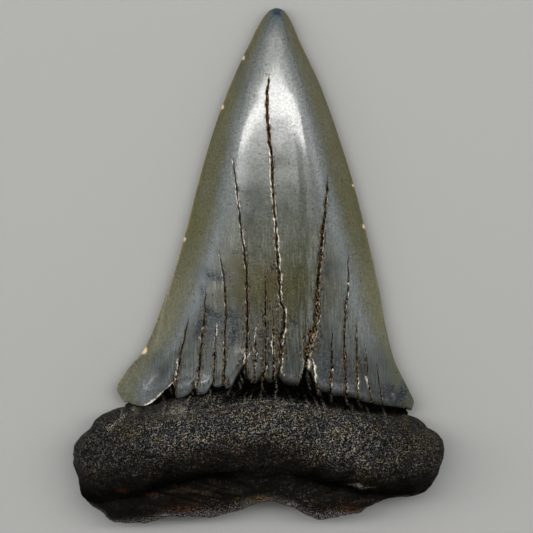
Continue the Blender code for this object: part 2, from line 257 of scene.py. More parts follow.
def inner_height(u, v, x, half_width, lip):
    """Height of the rounded face: the seam, plus the middle's height spread over the cross-section of
    the bulge, which leaves a foot on each side. Where the bulge ends, a square root keeps a soft
    corner."""
    seam = through(SEAM, v)
    middle = through(MIDDLE, v) - through(SET_BACK, v) * through(SET_BACK_ACROSS, x)
    foot = np.where(u < 0, through(FOOT_LEFT, v), through(FOOT_RIGHT, v))
    bulge_u = u * half_width / np.maximum(half_width - foot, 1e-6)
    bulge = 1 - np.abs(bulge_u) ** through(ROUNDNESS, v)
    bulge = (bulge + np.sqrt(bulge**2 + FOOT_CORNER * foot)) / 2
    across = np.clip(bulge, 0, 1) ** through(SHARPNESS, v)
    step = through(FOOT_HEIGHT, v) * (1 - across)
    return seam + step + (middle - seam - lip) * across * base_rounding(v)


def outer_height(u, v, x, half_width, lip):
    """Height of the flat face: it swells down until it meets the table, and stays flat there."""
    seam = through(SEAM, v)
    crown = through(BACK_SWELL_CROWN, np.minimum(v, 1)) * (1 - u * u)
    root = BACK_SWELL_ROOT * np.clip(1 - u**4, 0, 1) ** 0.5 * base_rounding(v)
    swell = crown + (root - crown) * ease(v, 0.95, 1.6)
    hollow = HOLLOW * bell(x - HOLLOW_MIDDLE, HOLLOW_WIDTH) * ease(v, 1.2, 3)
    return seam * (1 - np.minimum(swell, 1)) + (lip + hollow) * (1 - u**4) * base_rounding(v)


# %% [markdown]
# ## Uneven ground
#
# Bone and worn enamel are never even. `ground` gives soft random hills of a chosen size: random
# heights on the corners of a lattice, blended between them. The heights come from a fixed mixing of
# the corner's own numbers, so that the tooth is the same each time.

# %% Random hills and soft patches
CORNER_FACTORS = (374761393, 668265263, 2147483647, 1274126177)
MIXING = ((15, 2246822519), (13, 3266489917))
LOW_32_BITS = 0xFFFFFFFF
LATTICE_START = 1000  # keeps the lattice's numbers above zero


def corner_height(i, j, k, seed):
    """Number between -1 and 1 for each lattice corner: its place, multiplied by odd primes and mixed."""
    mixed = sum(number * prime for number, prime in zip((i, j, k, seed), CORNER_FACTORS)) & LOW_32_BITS
    for shift, factor in MIXING:
        mixed = ((mixed ^ (mixed >> shift)) * factor) & LOW_32_BITS
    return (mixed ^ (mixed >> 16)) / 2**31 - 1


def ground(x, y, z, size, seed=0):
    """Hills about `size` mm wide: the eight corner heights round each point, blended smoothly."""
    x, y, z = np.broadcast_arrays(x, y, z)
    spot = np.stack([x, y, z]) / size + LATTICE_START
    corner = np.floor(spot).astype(np.int64)
    fx, fy, fz = (t * t * (3 - 2 * t) for t in spot - corner)
    i, j, k = corner
    total = 0
    for di, dj, dk in np.ndindex(2, 2, 2):
        weight = (fx if di else 1 - fx) * (fy if dj else 1 - fy) * (fz if dk else 1 - fz)
        total = total + weight * corner_height(i + di, j + dj, k + dk, seed)
    return total


def patches(x, y, places):
    """Sum of soft round patches, each given by its middle, its reach across and along, and its
    strength: a bell across times a bell along."""
    return sum(strength * bell(x - x0, rx) * bell(y - y0, ry) for (x0, y0), (rx, ry), strength in places)


# %% [markdown]
# ## Cracks
#
# Drying split the enamel along its length. Each crack is a path from the enamel's edge upwards, with
# the width of its opening, its depth, and how far dirt has soaked in beside it. Where a lip has
# flaked, the enamel is pale. A dent that fine would be lost on an even grid, so the columns of the
# crown's mesh follow the cracks. The longest crack is placed first. Each shorter one then takes a
# share of the room between its neighbours, which it keeps above its upper end, and so no two columns
# ever cross. The groove itself is cut along the crack's path.

# %% The cracks
CRACKS = {  # path, half width at its top and at its bottom, depth, reach of the dirt
    "middle": (((2.45, -15.7), (2.6, -13.6), (3, -12), (3, -9.3), (3.4, -7.1), (3.5, -4.8), (3, -3.7),
        (2.8, -0.3), (2.4, 5.2), (2.1, 9), (1.9, 11.4), (1.7, 16), (1.4, 18.3), (1.2, 21.7), (1.1, 24.2),
        (1.4, 26.3), (1.5, 27.8)), 0.1, 0.15, 0.42, 0.3),
    "left": (((-1.8, -12.4), (-1.6, -10.5), (-1.5, -6.5), (-1.6, -0.4), (-1.9, 2.9), (-2.4, 6.4),
        (-2.9, 11.1), (-3.6, 16.1)), 0.06, 0.11, 0.3, 0.25),
    "right": (((6.3, -13.2), (6.6, -10.7), (7.3, -8.1), (7.9, -5.1), (7.9, -2.3), (8.3, 1.6), (8.6, 5.4),
        (9.1, 9.5), (9.4, 13.8)), 0.07, 0.3, 0.36, 0.45),
    "left_2": (((-4.55, -15.6), (-4.6, -9.5), (-4.4, -6.2), (-4.6, -1.6), (-5, 1), (-5.5, 3.6)),
        0.05, 0.09, 0.2, 0.2),
    "right_2": (((11.8, -17.2), (11.6, -9.9), (11.7, -5.5), (12.1, -2), (12.1, 2.5)),
        0.06, 0.1, 0.22, 0.2),
    "middle_2": (((0.5, -13.8), (1, -12.2), (1, -9.3), (0.9, -4.8), (0.9, 1)), 0.06, 0.1, 0.2, 0.3),
    "left_3": (((-8.4, -16), (-8.15, -14.9), (-7.7, -9.8), (-7.3, -6.5), (-7.2, -1.9)),
        0.07, 0.09, 0.2, 0.2),
    "left_4": (((-11.3, -15.9), (-11.1, -14.8), (-10.85, -13.4), (-10.45, -11.2), (-9.9, -9),
        (-9.4, -5.6)), 0.05, 0.11, 0.24, 0.15),
    "right_3": (((13.45, -17.8), (13.2, -10.1), (13.1, -6.1)), 0.05, 0.09, 0.16, 0.15),
    "right_1b": (((9.6, -16.5), (9.9, -12.7), (9.8, -10.4), (10.1, -6.6)), 0.05, 0.13, 0.2, 0.15),
    "left_1b": (((-6.15, -15.4), (-5.8, -9.6), (-5.7, -6.8)), 0.06, 0.09, 0.16, 0.15),
    "middle_3": (((-0.6, -14), (-0.45, -11.5), (-0.4, -8.9), (0.1, -5.6)), 0.06, 0.08, 0.14, 0.3),
    "middle_4": (((2, -14.2), (2.05, -11), (1.9, -3.5)), 0.08, 0.12, 0.14, 0.5),
    "right_4": (((15.3, -18.4), (14.7, -14.8), (14.4, -9.9)), 0.05, 0.08, 0.14, 0.1),
    "right_1a": (((7.65, -15), (7.4, -13.2), (7.2, -11.4)), 0.08, 0.16, 0.2, 0.2),
    "right_5": (((16.8, -18.9), (16.2, -14.6), (15.8, -12.6)), 0.04, 0.06, 0.1, 0.1),
}
LIPS = (  # crack, side of it, from and to which y, and width of the pale lip
    ("middle", -1, 27, 24.6, 0.06), ("middle", -1, 17.6, 9.4, 0.15), ("middle", 1, 10.8, 7, 0.1),
    ("middle", -1, 7.6, 5, 0.08), ("middle", 1, 6.4, -3.9, 0.12), ("middle", 1, -4.2, -6.6, 0.3),
    ("middle", 1, -7, -9.6, 0.12), ("middle", 1, -11, -13.2, 0.06), ("left", -1, 15, 12.2, 0.05),
    ("left", 1, 11, 8.4, 0.1), ("left", 1, 6, 3.4, 0.08), ("left", -1, -10.5, -12.2, 0.16),
    ("right", 1, -11.4, -13.4, 0.24), ("right", 1, 11, 9, 0.05), ("left_4", -1, -12, -15.4, 0.12),
    ("right_1a", 1, -11.6, -15, 0.24), ("middle_4", -1, -8, -11, 0.12), ("middle_3", -1, -7, -9.4, 0.1),
    ("left_1b", 1, -6.8, -9, 0.1), ("left_3", -1, -15, -16, 0.12), ("right_4", -1, -14.6, -16.6, 0.14),
    ("right_3", 1, -14.4, -16.6, 0.1),
)
DOTS = (  # middle and radius of small pale chips beside the cracks
    ((-7.85, -9.2), 0.15), ((-7.5, -7.8), 0.12), ((12.1, -1.9), 0.13), ((-5.9, -9.1), 0.1),
    ((-4.7, -9.5), 0.1), ((2.15, 7.4), 0.18), ((1.75, -9.2), 0.1), ((3.45, -13.6), 0.07),
    ((-1.9, -12.1), 0.18), ((10, -13.4), 0.1), ((-1.55, -6), 0.08), ((-1.5, -4.9), 0.07),
)
CRACK_OPENS_IN = 5  # length from a crack's upper end to where it is fully open
NEAR_CRACK = (0.07, 0.14, 0.24, 0.38)  # columns beside each crack, in mm from it
NARROW_GAP = 0.85  # a gap narrower than this draws those columns closer
COLUMN_GAP = 0.2  # mm between the other columns, where a gap is widest
ROUNDS = 5  # of settling where a crack meets a row
WIGGLE = 0.07  # mm by which a crack wavers to each side
BY_LENGTH = sorted(CRACKS, key=lambda name: -CRACKS[name][0][-1][1])


# %% Columns that follow the cracks
def crack_x(name, y):
    """x of a crack at each y: its path, which wavers a little."""
    points = np.array(CRACKS[name][0])[:, ::-1]
    return through(points, y) + WIGGLE * ground(0, y, 0, 0.55, BY_LENGTH.index(name))


def follow(name, v, enamel_edge):
    """u of a crack at each row, and the first and last row that it crosses. A few rounds of reading
    the path at the row's own y settle where the row meets it."""
    u = np.zeros((len(v), 1))
    for _ in range(ROUNDS):
        x_here, y, half_width = place(u, v, enamel_edge)
        u = u + (crack_x(name, y) - x_here) / half_width
    crossed = np.flatnonzero(y[:, 0] <= CRACKS[name][0][-1][1])
    return u[:, 0], crossed[0], crossed[-1]


def crack_lines(v, enamel_edge):
    """u of the two sides, and of every crack between them, at every row, from left to right."""
    lines = [-np.ones(len(v)), np.ones(len(v))]
    for name in BY_LENGTH:
        u, first, last = follow(name, v, enamel_edge)
        lines.sort(key=lambda line: line[last])
        before = [line for line in lines if line[last] < u[last]][-1]
        after = [line for line in lines if line[last] > u[last]][0]
        share = ((u - before) / (after - before))[np.clip(np.arange(len(v)), first, last)]
        lines.append(before + (after - before) * np.clip(share, 0.05, 0.95))
    return sorted(lines, key=lambda line: line[-1])


def crack_columns(v, enamel_edge):
    """u of every column. Each gap between two lines has a few columns close to both, at fixed
    distances in mm, and evenly spaced ones between them."""
    lines = crack_lines(v, enamel_edge)
    half_width = place(np.zeros((len(v), 1)), v, enamel_edge)[2][:, 0]
    columns = [lines[0]]
    for before, after in zip(lines, lines[1:]):
        gap = np.maximum((after - before) * half_width, 1e-6)
        near = np.array(NEAR_CRACK)[:, None] / np.maximum(gap, NARROW_GAP)
        count = max(1, round((gap.max() - 2 * NEAR_CRACK[-1]) / COLUMN_GAP))
        even = near[-1] + (1 - 2 * near[-1]) * np.linspace(0, 1, count + 1)[1:-1, None]
        shares = np.vstack([near, even, 1 - near[::-1], np.ones((1, len(v)))])
        columns += list(before + (after - before) * shares)
    return np.array(columns).T, lines


# %% Grooves, flaked lips and soaked-in dirt
def carve(x, y):
    """Depth of the cracks at every point, and masks of their inside, their pale lips and the dirt
    beside them. Each crack is a round-bottomed groove whose width wavers along it."""
    depth, inside, pale, dirt = (np.zeros_like(y) for _ in range(4))
    for seed, (name, (path, at_top, at_bottom, deep, dirt_reach)) in enumerate(CRACKS.items()):
        away, below_top = x - crack_x(name, y), path[-1][1] - y
        is_open = ease(below_top, 0, CRACK_OPENS_IN)
        present = ease(is_open, 0, 0.1)
        down = ease(below_top, 0, path[-1][1] - path[0][1])
        waver = 1 + 0.45 * ground(0, y, 0, 0.8, 50 + seed) + 0.4 * ground(0, y, 0, 0.3, 30 + seed)
        reach = 1.2 * (at_top + (at_bottom - at_top) * down) * waver * (0.4 + 0.6 * is_open)
        groove = np.clip(1 - (away / (1.25 * reach)) ** 2, 0, 1)
        depth = np.maximum(depth, deep * ease(is_open, 0, 0.6) * groove)
        inside = np.maximum(inside, present * ease(reach * 1.15 - np.abs(away), -0.03, 0.05))
        blot = ground(np.sign(away), y, 0, 1.6, 70 + seed) + ground(away, y, 0, 0.7, 80 + seed)
        soaked = 1.8 * dirt_reach * (0.35 + 0.65 * down) * np.clip(1 + 0.6 * blot, 0.15, 3)
        dirt = np.maximum(dirt, present * bell(away, reach + soaked))
        for crack, side, top, bottom, width in LIPS:
            if crack == name:
                here = ease(top - y, 0, 0.4) * ease(y - bottom, 0, 0.4)
                flake = width * (0.75 + 0.5 * ground(side, y, 0, 0.5, 90 + seed))
                from_lip = away * side - reach
                lip = ease(from_lip, -0.05, 0.02) * ease(flake - from_lip, -0.03, 0.05)
                pale = np.maximum(pale, here * lip * (flake > 0.03))
    return depth, inside, pale, dirt


def dots(x, y):
    """The small pale chips: each is full up to its radius and has a soft, uneven edge."""
    ragged = 1 + 0.4 * ground(x, y, 0, 0.2, 66)
    return sum(1 - ease(np.hypot(x - a, y - b), 0.6 * r * ragged, 1.3 * r * ragged) for (a, b), r in DOTS)


# %% [markdown]
# ## From grids to one closed mesh
#
# Each piece is a shell: a fine grid for the face that shows, and a coarser one for the flat face,
# which share the points along the seam. Where the coarse grid skips points of the seam, its faces
# there simply have more corners, so that the mesh has no gap. The enamel closes in a point at the
# tip. Its lower end, and the upper end of the root, are closed by a strip inside the tooth.


# %% Joining two grids into a shell
def squares(ids, turned):
    """The faces of a grid of point numbers, one for each four neighbours."""
    a, b, c, d = ids[:-1, :-1], ids[:-1, 1:], ids[1:, 1:], ids[1:, :-1]
    around = [a, b, c, d] if turned else [a, d, c, b]
    return np.stack(around, axis=-1).reshape(-1, 4).tolist()


def strip(coarse, fine, met, facing_tip):
    """Faces between a coarse row and a fine row of point numbers. `met` says which fine column lies
    beside each coarse one."""
    faces = []
    for i, (first, last) in enumerate(zip(met, met[1:])):
        ring = list(dict.fromkeys([coarse[i], coarse[i + 1], *fine[first : last + 1][::-1]]))
        faces.append(ring[::-1] if facing_tip else ring)
    return [face for face in faces if len(face) > 2]


def closed_shell(front, back, back_rows, met, tip=None):
    """Points and faces of a shell. The back's rows lie at the front's rows `back_rows`, and its
    columns beside the front's columns `met`. A shell with a tip closes in that point."""
    front_ids = np.arange(front[..., 0].size).reshape(front.shape[:2])
    inner = front_ids.size + np.arange(back[:, 1:-1, 0].size).reshape(len(back), -1)
    back_ids = np.column_stack([front_ids[back_rows, 0], inner, front_ids[back_rows, -1]])
    faces = squares(front_ids, False) + squares(inner, True)
    left, right = front_ids[:, 0].tolist(), front_ids[:, -1].tolist()
    for j, (r0, r1) in enumerate(zip(back_rows, back_rows[1:])):
        faces.append([int(inner[j, 0]), int(inner[j + 1, 0]), *left[r0 : r1 + 1][::-1]])
        faces.append([int(inner[j + 1, -1]), int(inner[j, -1]), *right[r0 : r1 + 1]])
    points = np.vstack([front.reshape(-1, 3), back[:, 1:-1].reshape(-1, 3)])
    first, back_first = front_ids[0].tolist(), back_ids[0].tolist()
    if tip is None:
        faces += strip(back_first, first, met, facing_tip=True)
    else:
        apex = len(points)
        points = np.vstack([points, [tip]])
        faces += [[apex, p, q] for p, q in zip(first, first[1:])]
        faces += [[apex, q, p] for p, q in zip(back_first, back_first[1:])]
    faces += strip(back_ids[-1].tolist(), front_ids[-1].tolist(), met, facing_tip=False)
    return points, faces


def values_of(front, back, at_tip=()):
    """A mask's values in the order of the shell's points."""
    return np.concatenate([front.ravel(), back[:, 1:-1].ravel(), at_tip])


def nearest_columns(fine, coarse):
    """For each coarse column, the fine column whose u is closest."""
    met = np.abs(fine - coarse[:, None]).argmin(axis=1)
    met[0], met[-1] = 0, len(fine) - 1
    return met.tolist()


def push_out(at, amount, facing_up):
    """Moves each point of a grid along the surface's normal, the cross product of the directions to
    its neighbours across and along."""
    across, along = np.gradient(at, axis=1), np.gradient(at, axis=0)
    normal = np.cross(along, across) if facing_up else np.cross(across, along)
    normal /= np.maximum(np.linalg.norm(normal, axis=-1, keepdims=True), 1e-9)
    return at + normal * amount[..., None]


# %% From points and faces to a piece
SHARP_ANGLE = 60  # degrees between two faces, past which the edge between them stays crisp


def flat_map(at, facing_up, side, shift_up, turn_down, shift_down):
    """Where each corner goes on the piece's flat map: both faces as seen from above, side by side."""
    below = turn_down * at[:, :2] + shift_down
    return np.where(facing_up[:, None], at[:, :2] + shift_up, below) / side


def of_faces(mesh, what, size=1):
    """One value, or `size` of them, of every face of a mesh."""
    values = np.empty(len(mesh.polygons) * size, float if size > 1 else int)
    mesh.polygons.foreach_get(what, values)
    return values


def make_piece(name, points, faces, masks, map_layout):
    """A mesh object at the origin, with its masks as point attributes and a flat map of its faces."""
    mesh = bpy.data.meshes.new(name)
    mesh.from_pydata((points * MM).tolist(), [], faces)
    mesh.update()
    for label, values in masks.items():
        attribute = mesh.attributes.new(label, "FLOAT", "POINT")
        attribute.data.foreach_set("value", np.clip(values, 0, 1).astype(np.float32))
    corners = np.empty(len(mesh.loops), int)
    mesh.loops.foreach_get("vertex_index", corners)
    counts = of_faces(mesh, "loop_total")
    facing_up = np.repeat(of_faces(mesh, "normal", 3)[2::3] > 0, counts)
    layer = mesh.uv_layers.new(name="OFBake")
    flat = flat_map(points[corners], facing_up, *map_layout)
    layer.data.foreach_set("uv", flat.astype(np.float32).ravel())
    mesh.shade_smooth()
    mesh.set_sharp_from_angle(angle=np.radians(SHARP_ANGLE))
    piece = bpy.data.objects.new(name, mesh)
    bpy.context.scene.collection.objects.link(piece)
    box = points.min(axis=0).round(2), points.max(axis=0).round(2)
    print(name, "has", int((counts - 2).sum()), "triangles, box in mm:", *box)
    return piece


# %% [markdown]
# ## The enamel
#
# The cap of enamel is smooth and glossy, so small changes of its height show as changes in its
# reflections. Between two cracks it is pillowed a little, at its edge it rounds off and stands proud
# of the root, and along the cutting edges it has lost a few small chips. The masks that the material
# will need are worked out here too, because they follow the tooth's own shape: the see-through
# margins, a painted reflection just inside them, the ends of the tongues, and the stains.

# %% Measures of the enamel
CROWN_V = np.concatenate([
    [0.0008, 0.002, 0.004, 0.007, 0.0105, 0.0145, 0.019, 0.024, 0.03, 0.037, 0.045, 0.056, 0.068],
    np.linspace(0.08, 0.925, 186),
    np.linspace(0.93, 1, 27),
])
CROWN_BACK_COLUMNS, CROWN_BACK_EVERY = 90, 3  # the flat face takes every third row
CROWN_MAP = (62, (21, 22), -1, (41, 37))  # mm across the map, and where each face lies on it
ROWS_RUN, LEVEL_ROUNDS = 44, 8  # mm of crown to one step of v near the edge, and rounds of settling
TIP_ROUNDS_TO, TIP_BLUNT = 0.024, 0.42  # v to which the tip is blunt, and the power of its rounding
RIM_SINKS, RIM_INSET = 0.9, 0.97  # how deep the enamel's rim turns in, and how much it narrows
CHIP_DEPTH = 0.22
EDGE_CHIPS = (  # middle and size
    ((-2.1, 28.4), 0.24), ((-5, 21.7), 0.3), ((-10.1, 3.6), 0.24), ((-15.65, -11.65), 0.5),
    ((12.85, 10.9), 0.2), ((14.35, 5.3), 0.28),
)
PILLOW = 0.04  # mm by which the enamel stands higher between two cracks
EDGE_ROUNDING, EDGE_ROUNDS_IN = 0.22, 0.45  # how far the edge sinks, and over what length
MARGIN_WIDTH = (
    (0, 0.3), (0.06, 0.6), (0.16, 1.15), (0.3, 1.8), (0.42, 2.5), (0.6, 3), (0.8, 3.1), (1, 2.3),
)
RIGHT_MARGIN = (
    (0, 1.5), (0.2, 1.25), (0.4, 1.05), (0.5, 0.9), (0.6, 0.8), (0.75, 0.72), (0.88, 0.5), (0.95, 0.9),
    (1, 1.2),
)
REFLECTION_INSIDE, REFLECTION_WIDTH = 1.5, 1.2  # the painted reflection on the flanks: how far inside the margin, and how wide
# How strongly the painted reflection shows along the left and the right flank
REFLECTION_LEFT = (
    (0, 0), (0.03, 0), (0.1, 0.52), (0.45, 0.52), (0.56, 0.64), (0.68, 1), (0.76, 1), (0.84, 0.65),
    (1, 0.35),
)
REFLECTION_RIGHT = (
    (0, 0), (0.03, 0), (0.1, 0.52), (0.4, 0.6), (0.5, 0.68), (0.6, 0.85), (0.72, 0.68), (0.84, 0.45),
    (1, 0.3),
)
FADE = (
    (-18, 0.1), (-8, 0.25), (-4, 0.7), (-2.5, 1.3), (0, 2.2), (5, 2.5), (7, 1.2), (14, 0.9), (16.5, 1),
    (19, 0.8), (21, 0.7),
)

# %% Stains and dirt, each with its middle, reach and strength
TIP_DOT = (((2.5, 34.66), (0.52, 0.5), 1), ((2.5, 34.66), (1.2, 1.5), 0.3))
# darker at the enamel's lower right corner
DARKER_CORNER = (((20.2, -19.6), (2.2, 2.6), 0.2),)
STAINS = (  # middle, reach and strength of the blue-grey stains; the widest darken the lower crown as a whole
    ((-0.6, 8.2), (2.4, 0.9), 0.5), ((3.9, 9.2), (1, 0.6), 0.3), ((-6.3, -0.5), (1.7, 1), 0.85),
    ((-4.6, -0.8), (0.7, 1.3), 0.6), ((-7.1, -3.2), (0.5, 1.4), 0.6), ((-7.9, -8), (1.1, 1.3), 0.7),
    ((-6.2, -6), (1.4, 0.6), 0.6), ((-3.6, -5.8), (0.6, 0.9), 0.5), ((1.75, 1.3), (0.4, 0.35), 1),
    ((0.4, 3.4), (0.4, 0.7), 0.5), ((10.8, 0.6), (1.2, 2.6), 0.3), ((-13.3, -14.4), (1, 1.8), 0.45),
    ((-3.4, -8.6), (0.7, 0.9), 0.5), ((4.6, -6), (0.28, 0.22), 1.2), ((5.3, -6.2), (0.4, 0.22), 1.1),
    ((0.4, -8.6), (2.2, 3), 0.4), ((17, -17.6), (1.8, 1.6), 0.5), ((2.4, -10.6), (1.4, 2.2), 0.4),
    ((-5.4, -8.8), (4, 3.8), 0.6), ((-4.2, -2.8), (2.4, 4.4), 0.35), ((11.4, -14.8), (5.2, 3.4), 0.7),
    ((8.8, -9.4), (2.2, 4.6), 0.5), ((17.6, -12.6), (1.6, 4), 0.2), ((19.2, -17.9), (2, 1.6), 0.8),
    ((-2.4, 27.6), (1, 3), 0.25), ((9.3, 0.5), (0.6, 2.2), 0.6), ((-2.6, 2.6), (2, 0.5), 0.4),
    ((3.6, -11.6), (1.8, 2), 0.15), ((-3.2, 0.2), (1.6, 2.6), 0.25),
)
WARM = (  # middle, reach and strength of the olive-brown ones
    ((-3.2, -0.3), (1.7, 2.8), 1.5), ((4.6, -1.6), (3.2, 3.6), 0.6), ((0.8, -2), (2, 4), 0.8),
    ((-3.6, -3.6), (2.2, 2.6), 0.6), ((3, -6.6), (1.2, 4), 0.4), ((8.8, -6), (0.8, 5), 0.3),
    ((-5.8, -3), (1.2, 3), 0.4), ((9.6, -1), (1, 4), 0.3),
)
SOILED = (  # dirt that isn't beside one crack alone
    ((2.1, -6.2), (0.9, 3.4), 0.8), ((1.3, -10.4), (1.2, 3), 0.6), ((6.6, -10.8), (0.8, 2.4), 0.7),
    ((1.4, 0.6), (0.9, 1.6), 0.5), ((-4.2, -10), (0.5, 2.4), 0.3), ((-2, -9.6), (0.8, 3), 0.8),
    ((0.8, -9), (2, 3.6), 0.6), ((7.6, -8), (1.4, 4), 0.5), ((-7.6, -11), (2.6, 3.6), 0.25),
    ((12.6, -14.6), (3, 2.4), 0.15),
)


def spots(x, y, places, seed):
    """Sum of soft patches, whose outlines uneven ground has pulled out of shape."""
    x = x + 0.55 * ground(x, y, 0, 1.4, seed) + 0.2 * ground(x, y, 0, 0.4, seed + 1)
    y = y + 0.9 * ground(x, y * 0.5, 0, 1.1, seed + 2)
    return patches(x, y, places)


def chips_on_edge(x, y):
    """The chips of the cutting edges: round patches, of which the deepest point counts 1."""
    return np.clip(patches(x, y, [(middle, (size, size), 1) for middle, size in EDGE_CHIPS]), 0, 1)


def flaked_lip(x, above_edge):
    """Pale broken line along the lower end of the first tongue on the left."""
    here = ease(x, -15.6, -15.2) * ease(-11.3 - x, 0, 0.3)
    return here * ease(0.3 + 0.16 * ground(x, 0, 0, 0.5, 61) - above_edge, 0, 0.12)


def crown_masks(u, v, x, y, half_width, above_edge):
    """Where the enamel's colours change. `deep` is the distance from the cutting edge, in mm."""
    deep = (1 - np.abs(u)) * half_width
    wide = through(MARGIN_WIDTH, v) * np.where(u > 0, through(RIGHT_MARGIN, v), 1)
    waver = 0.4 * ground(x, y, 0, 4, 7) + 0.15 * ground(x, y * 0.5, 0, 1, 8)
    inner = wide * (1 + 0.3 * waver)
    band = np.where(u < 0, through(REFLECTION_LEFT, v), through(REFLECTION_RIGHT, v))
    broken = ease(ground(0, y, u, 2, 10), -0.6, 0.4)
    fade = through(FADE, x) * (1 + 0.35 * ground(x, y, 0, 0.6, 9))
    foot = ease(v, 0.8, 0.9) * ease(np.abs(u), 0.5, 0.72)
    return {
        "margin": 1 - ease(deep, inner - 0.3 - 0.3 * wide, inner + 0.3 + 0.35 * wide),
        "rim_line": (1 - ease(deep, 0.08, 0.28)) * (0.4 + 0.6 * ease(-u, 0, 0.5)) * broken,
        # painted reflection of the lights, just inside the margins
        "band": bell(deep - inner - REFLECTION_INSIDE, REFLECTION_WIDTH) * band,
        "tongue": (1 - ease(above_edge, 0.5, 4)) * (1 - 0.9 * ease(x, 0, 6)),
        "fade": 1 - ease(above_edge, -0.3, np.maximum(fade, 0.15)) + patches(x, y, DARKER_CORNER),
        "edge": 1 - ease(deep, 0.1, 0.9 + 2.4 * ease(v, 0.45, 0.7)),
        "tip_dot": patches(x, y, TIP_DOT),
        "foot": np.maximum(foot, 1 - ease(above_edge, 0.5, 1.5)),
        "stain": spots(x, y, STAINS, 11), "warm": spots(x, y, WARM, 14), "dirt": spots(x, y, SOILED, 17),
    }


# %% Relief of the enamel
def pillow(u, lines):
    """0 in the middle between two cracks, and 1 at them: the fourth power of the way to the nearer."""
    bulge = np.zeros_like(u)
    for before, after in zip(lines, lines[1:]):
        share = (u - before[:, None]) / np.maximum(after - before, 1e-6)[:, None]
        bulge = np.where((share >= 0) & (share <= 1), np.abs(2 * share - 1) ** 4, bulge)
    return bulge


def blunt(x, v):
    """Rounds the outline off at the tip, where it widens with a power of the distance from the tip."""
    return TIP[0] + (x - TIP[0]) * np.minimum(v / TIP_ROUNDS_TO, 1) ** -TIP_BLUNT


def level_row(u, v, y):
    """The station at which evenly arched rows would pass through each point, so that its height
    doesn't depend on the shape of the enamel's edge. A few rounds settle it."""
    left, right = side_at(LEFT_SIDE, v)[:, 1], side_at(RIGHT_SIDE, v)[:, 1]
    level = v[:, None] + 0 * u
    for _ in range(LEVEL_ROUNDS):
        chord = np.interp(level, v, left) * (1 - u) / 2 + np.interp(level, v, right) * (1 + u) / 2
        row_y = chord + ARCH * (1 - u * u) * level**2 - ROWS_RUN * np.maximum(level - 1, 0)
        level = level + (row_y - y) / ROWS_RUN
    return np.where(v[:, None] < EDGE_PULLS_FROM, v[:, None], level)


def rim_row(u, edge_line, height_of, sink, below=np.inf):
    """The row that closes the shell inside the tooth: the enamel's edge, drawn in a little and sunk."""
    u = u[-1:] * RIM_INSET
    x, y, half_width = place(u, CROWN_V[-1:], edge_line)
    z = np.minimum(height_of(u, CROWN_V[-1:, None], x, half_width, 0), below)
    return np.dstack([x, y, z - sink * (1 - np.abs(u) ** 8)])


# %% Make the enamel
def crown_front():
    """The rounded face of the enamel with its masks, and u of its columns."""
    u, lines = crack_columns(CROWN_V, ENAMEL_EDGE)
    x, y, half_width = place(u, CROWN_V, ENAMEL_EDGE)
    v = CROWN_V[:, None]
    above_edge = y - through(ENAMEL_EDGE, x)
    depth, inside, pale, dirt = carve(x, y)
    chipped = chips_on_edge(x, y)
    lower = ease(v, 0.55, 0.95)
    ripple = 0.02 * ground(x * 2.2, y * 0.35, 0, 1, 3) * lower + 0.012 * ground(x, y, 0, 2.4, 4)
    z = inner_height(u, level_row(u, CROWN_V, y), x, half_width, 0) - depth
    z = z + (ripple - PILLOW * pillow(u, lines) * lower) * (1 - u**2)
    z = z - CHIP_DEPTH * chipped * (1 - np.abs(u) ** 8)
    z = z - EDGE_ROUNDING * (1 - ease(above_edge, 0, EDGE_ROUNDS_IN)) * (1 - u**4)
    masks = crown_masks(u, v, x, y, half_width, above_edge)
    chip = [pale, ease(chipped, 0.15, 0.5), flaked_lip(x, above_edge), dots(x, y)]
    masks |= {"crack": inside, "chip": np.maximum.reduce(chip), "dirt": masks["dirt"] + dirt}
    rim = rim_row(u, ENAMEL_EDGE, inner_height, RIM_SINKS, below=z[-1:])
    return np.vstack([np.dstack([blunt(x, v), y, z]), rim]), masks, u


def crown_back(rows):
    """The flat face of the enamel with its masks, and u of its columns."""
    u = np.tile(np.linspace(-1, 1, CROWN_BACK_COLUMNS), (len(rows), 1))
    x, y, half_width = place(u, CROWN_V[rows], BACK_ENAMEL_EDGE)
    v = CROWN_V[rows][:, None]
    z = outer_height(u, v, x, half_width, 0)
    masks = crown_masks(u, v, x, y, half_width, y - through(BACK_ENAMEL_EDGE, x))
    masks |= {"crack": 0 * u, "chip": 0 * u}
    rim = rim_row(u, BACK_ENAMEL_EDGE, outer_height, -RIM_SINKS)
    return np.vstack([np.dstack([blunt(x, v), y, z]), rim]), masks, u


def make_crown():
    rows = np.unique([*range(0, len(CROWN_V), CROWN_BACK_EVERY), len(CROWN_V) - 1])
    front, front_masks, u = crown_front()
    back, back_masks, back_u = crown_back(rows)
    met = nearest_columns(u[-1], back_u[-1])
    print("columns across the crown:", u.shape[1], "in front and", back_u.shape[1], "behind")
    shell = closed_shell(front, back, [*rows.tolist(), len(CROWN_V)], met, tip=(*TIP, SEAM_TIP))
    masks = {}
    for name, on_front in front_masks.items():
        both = [np.vstack([values, values[-1:]]) for values in (on_front, back_masks[name])]
        masks[name] = values_of(*both, at_tip=[0])
    return make_piece("crown", *shell, masks, CROWN_MAP)


crown = make_crown()

# %% [markdown]
# ## The root
#
# The root is bone with a rough, grainy skin. It is a thick roll, with a thinner plate set back under
# it, and the roll's lower edge makes a dark ledge. Between the enamel and the root lies a narrow
# neck. The root's upper end runs on under the enamel, so that no gap shows between them. Here the
# columns are even, and several sizes of hills, from lumps down to single grains, push the surface out
# along its own normal.

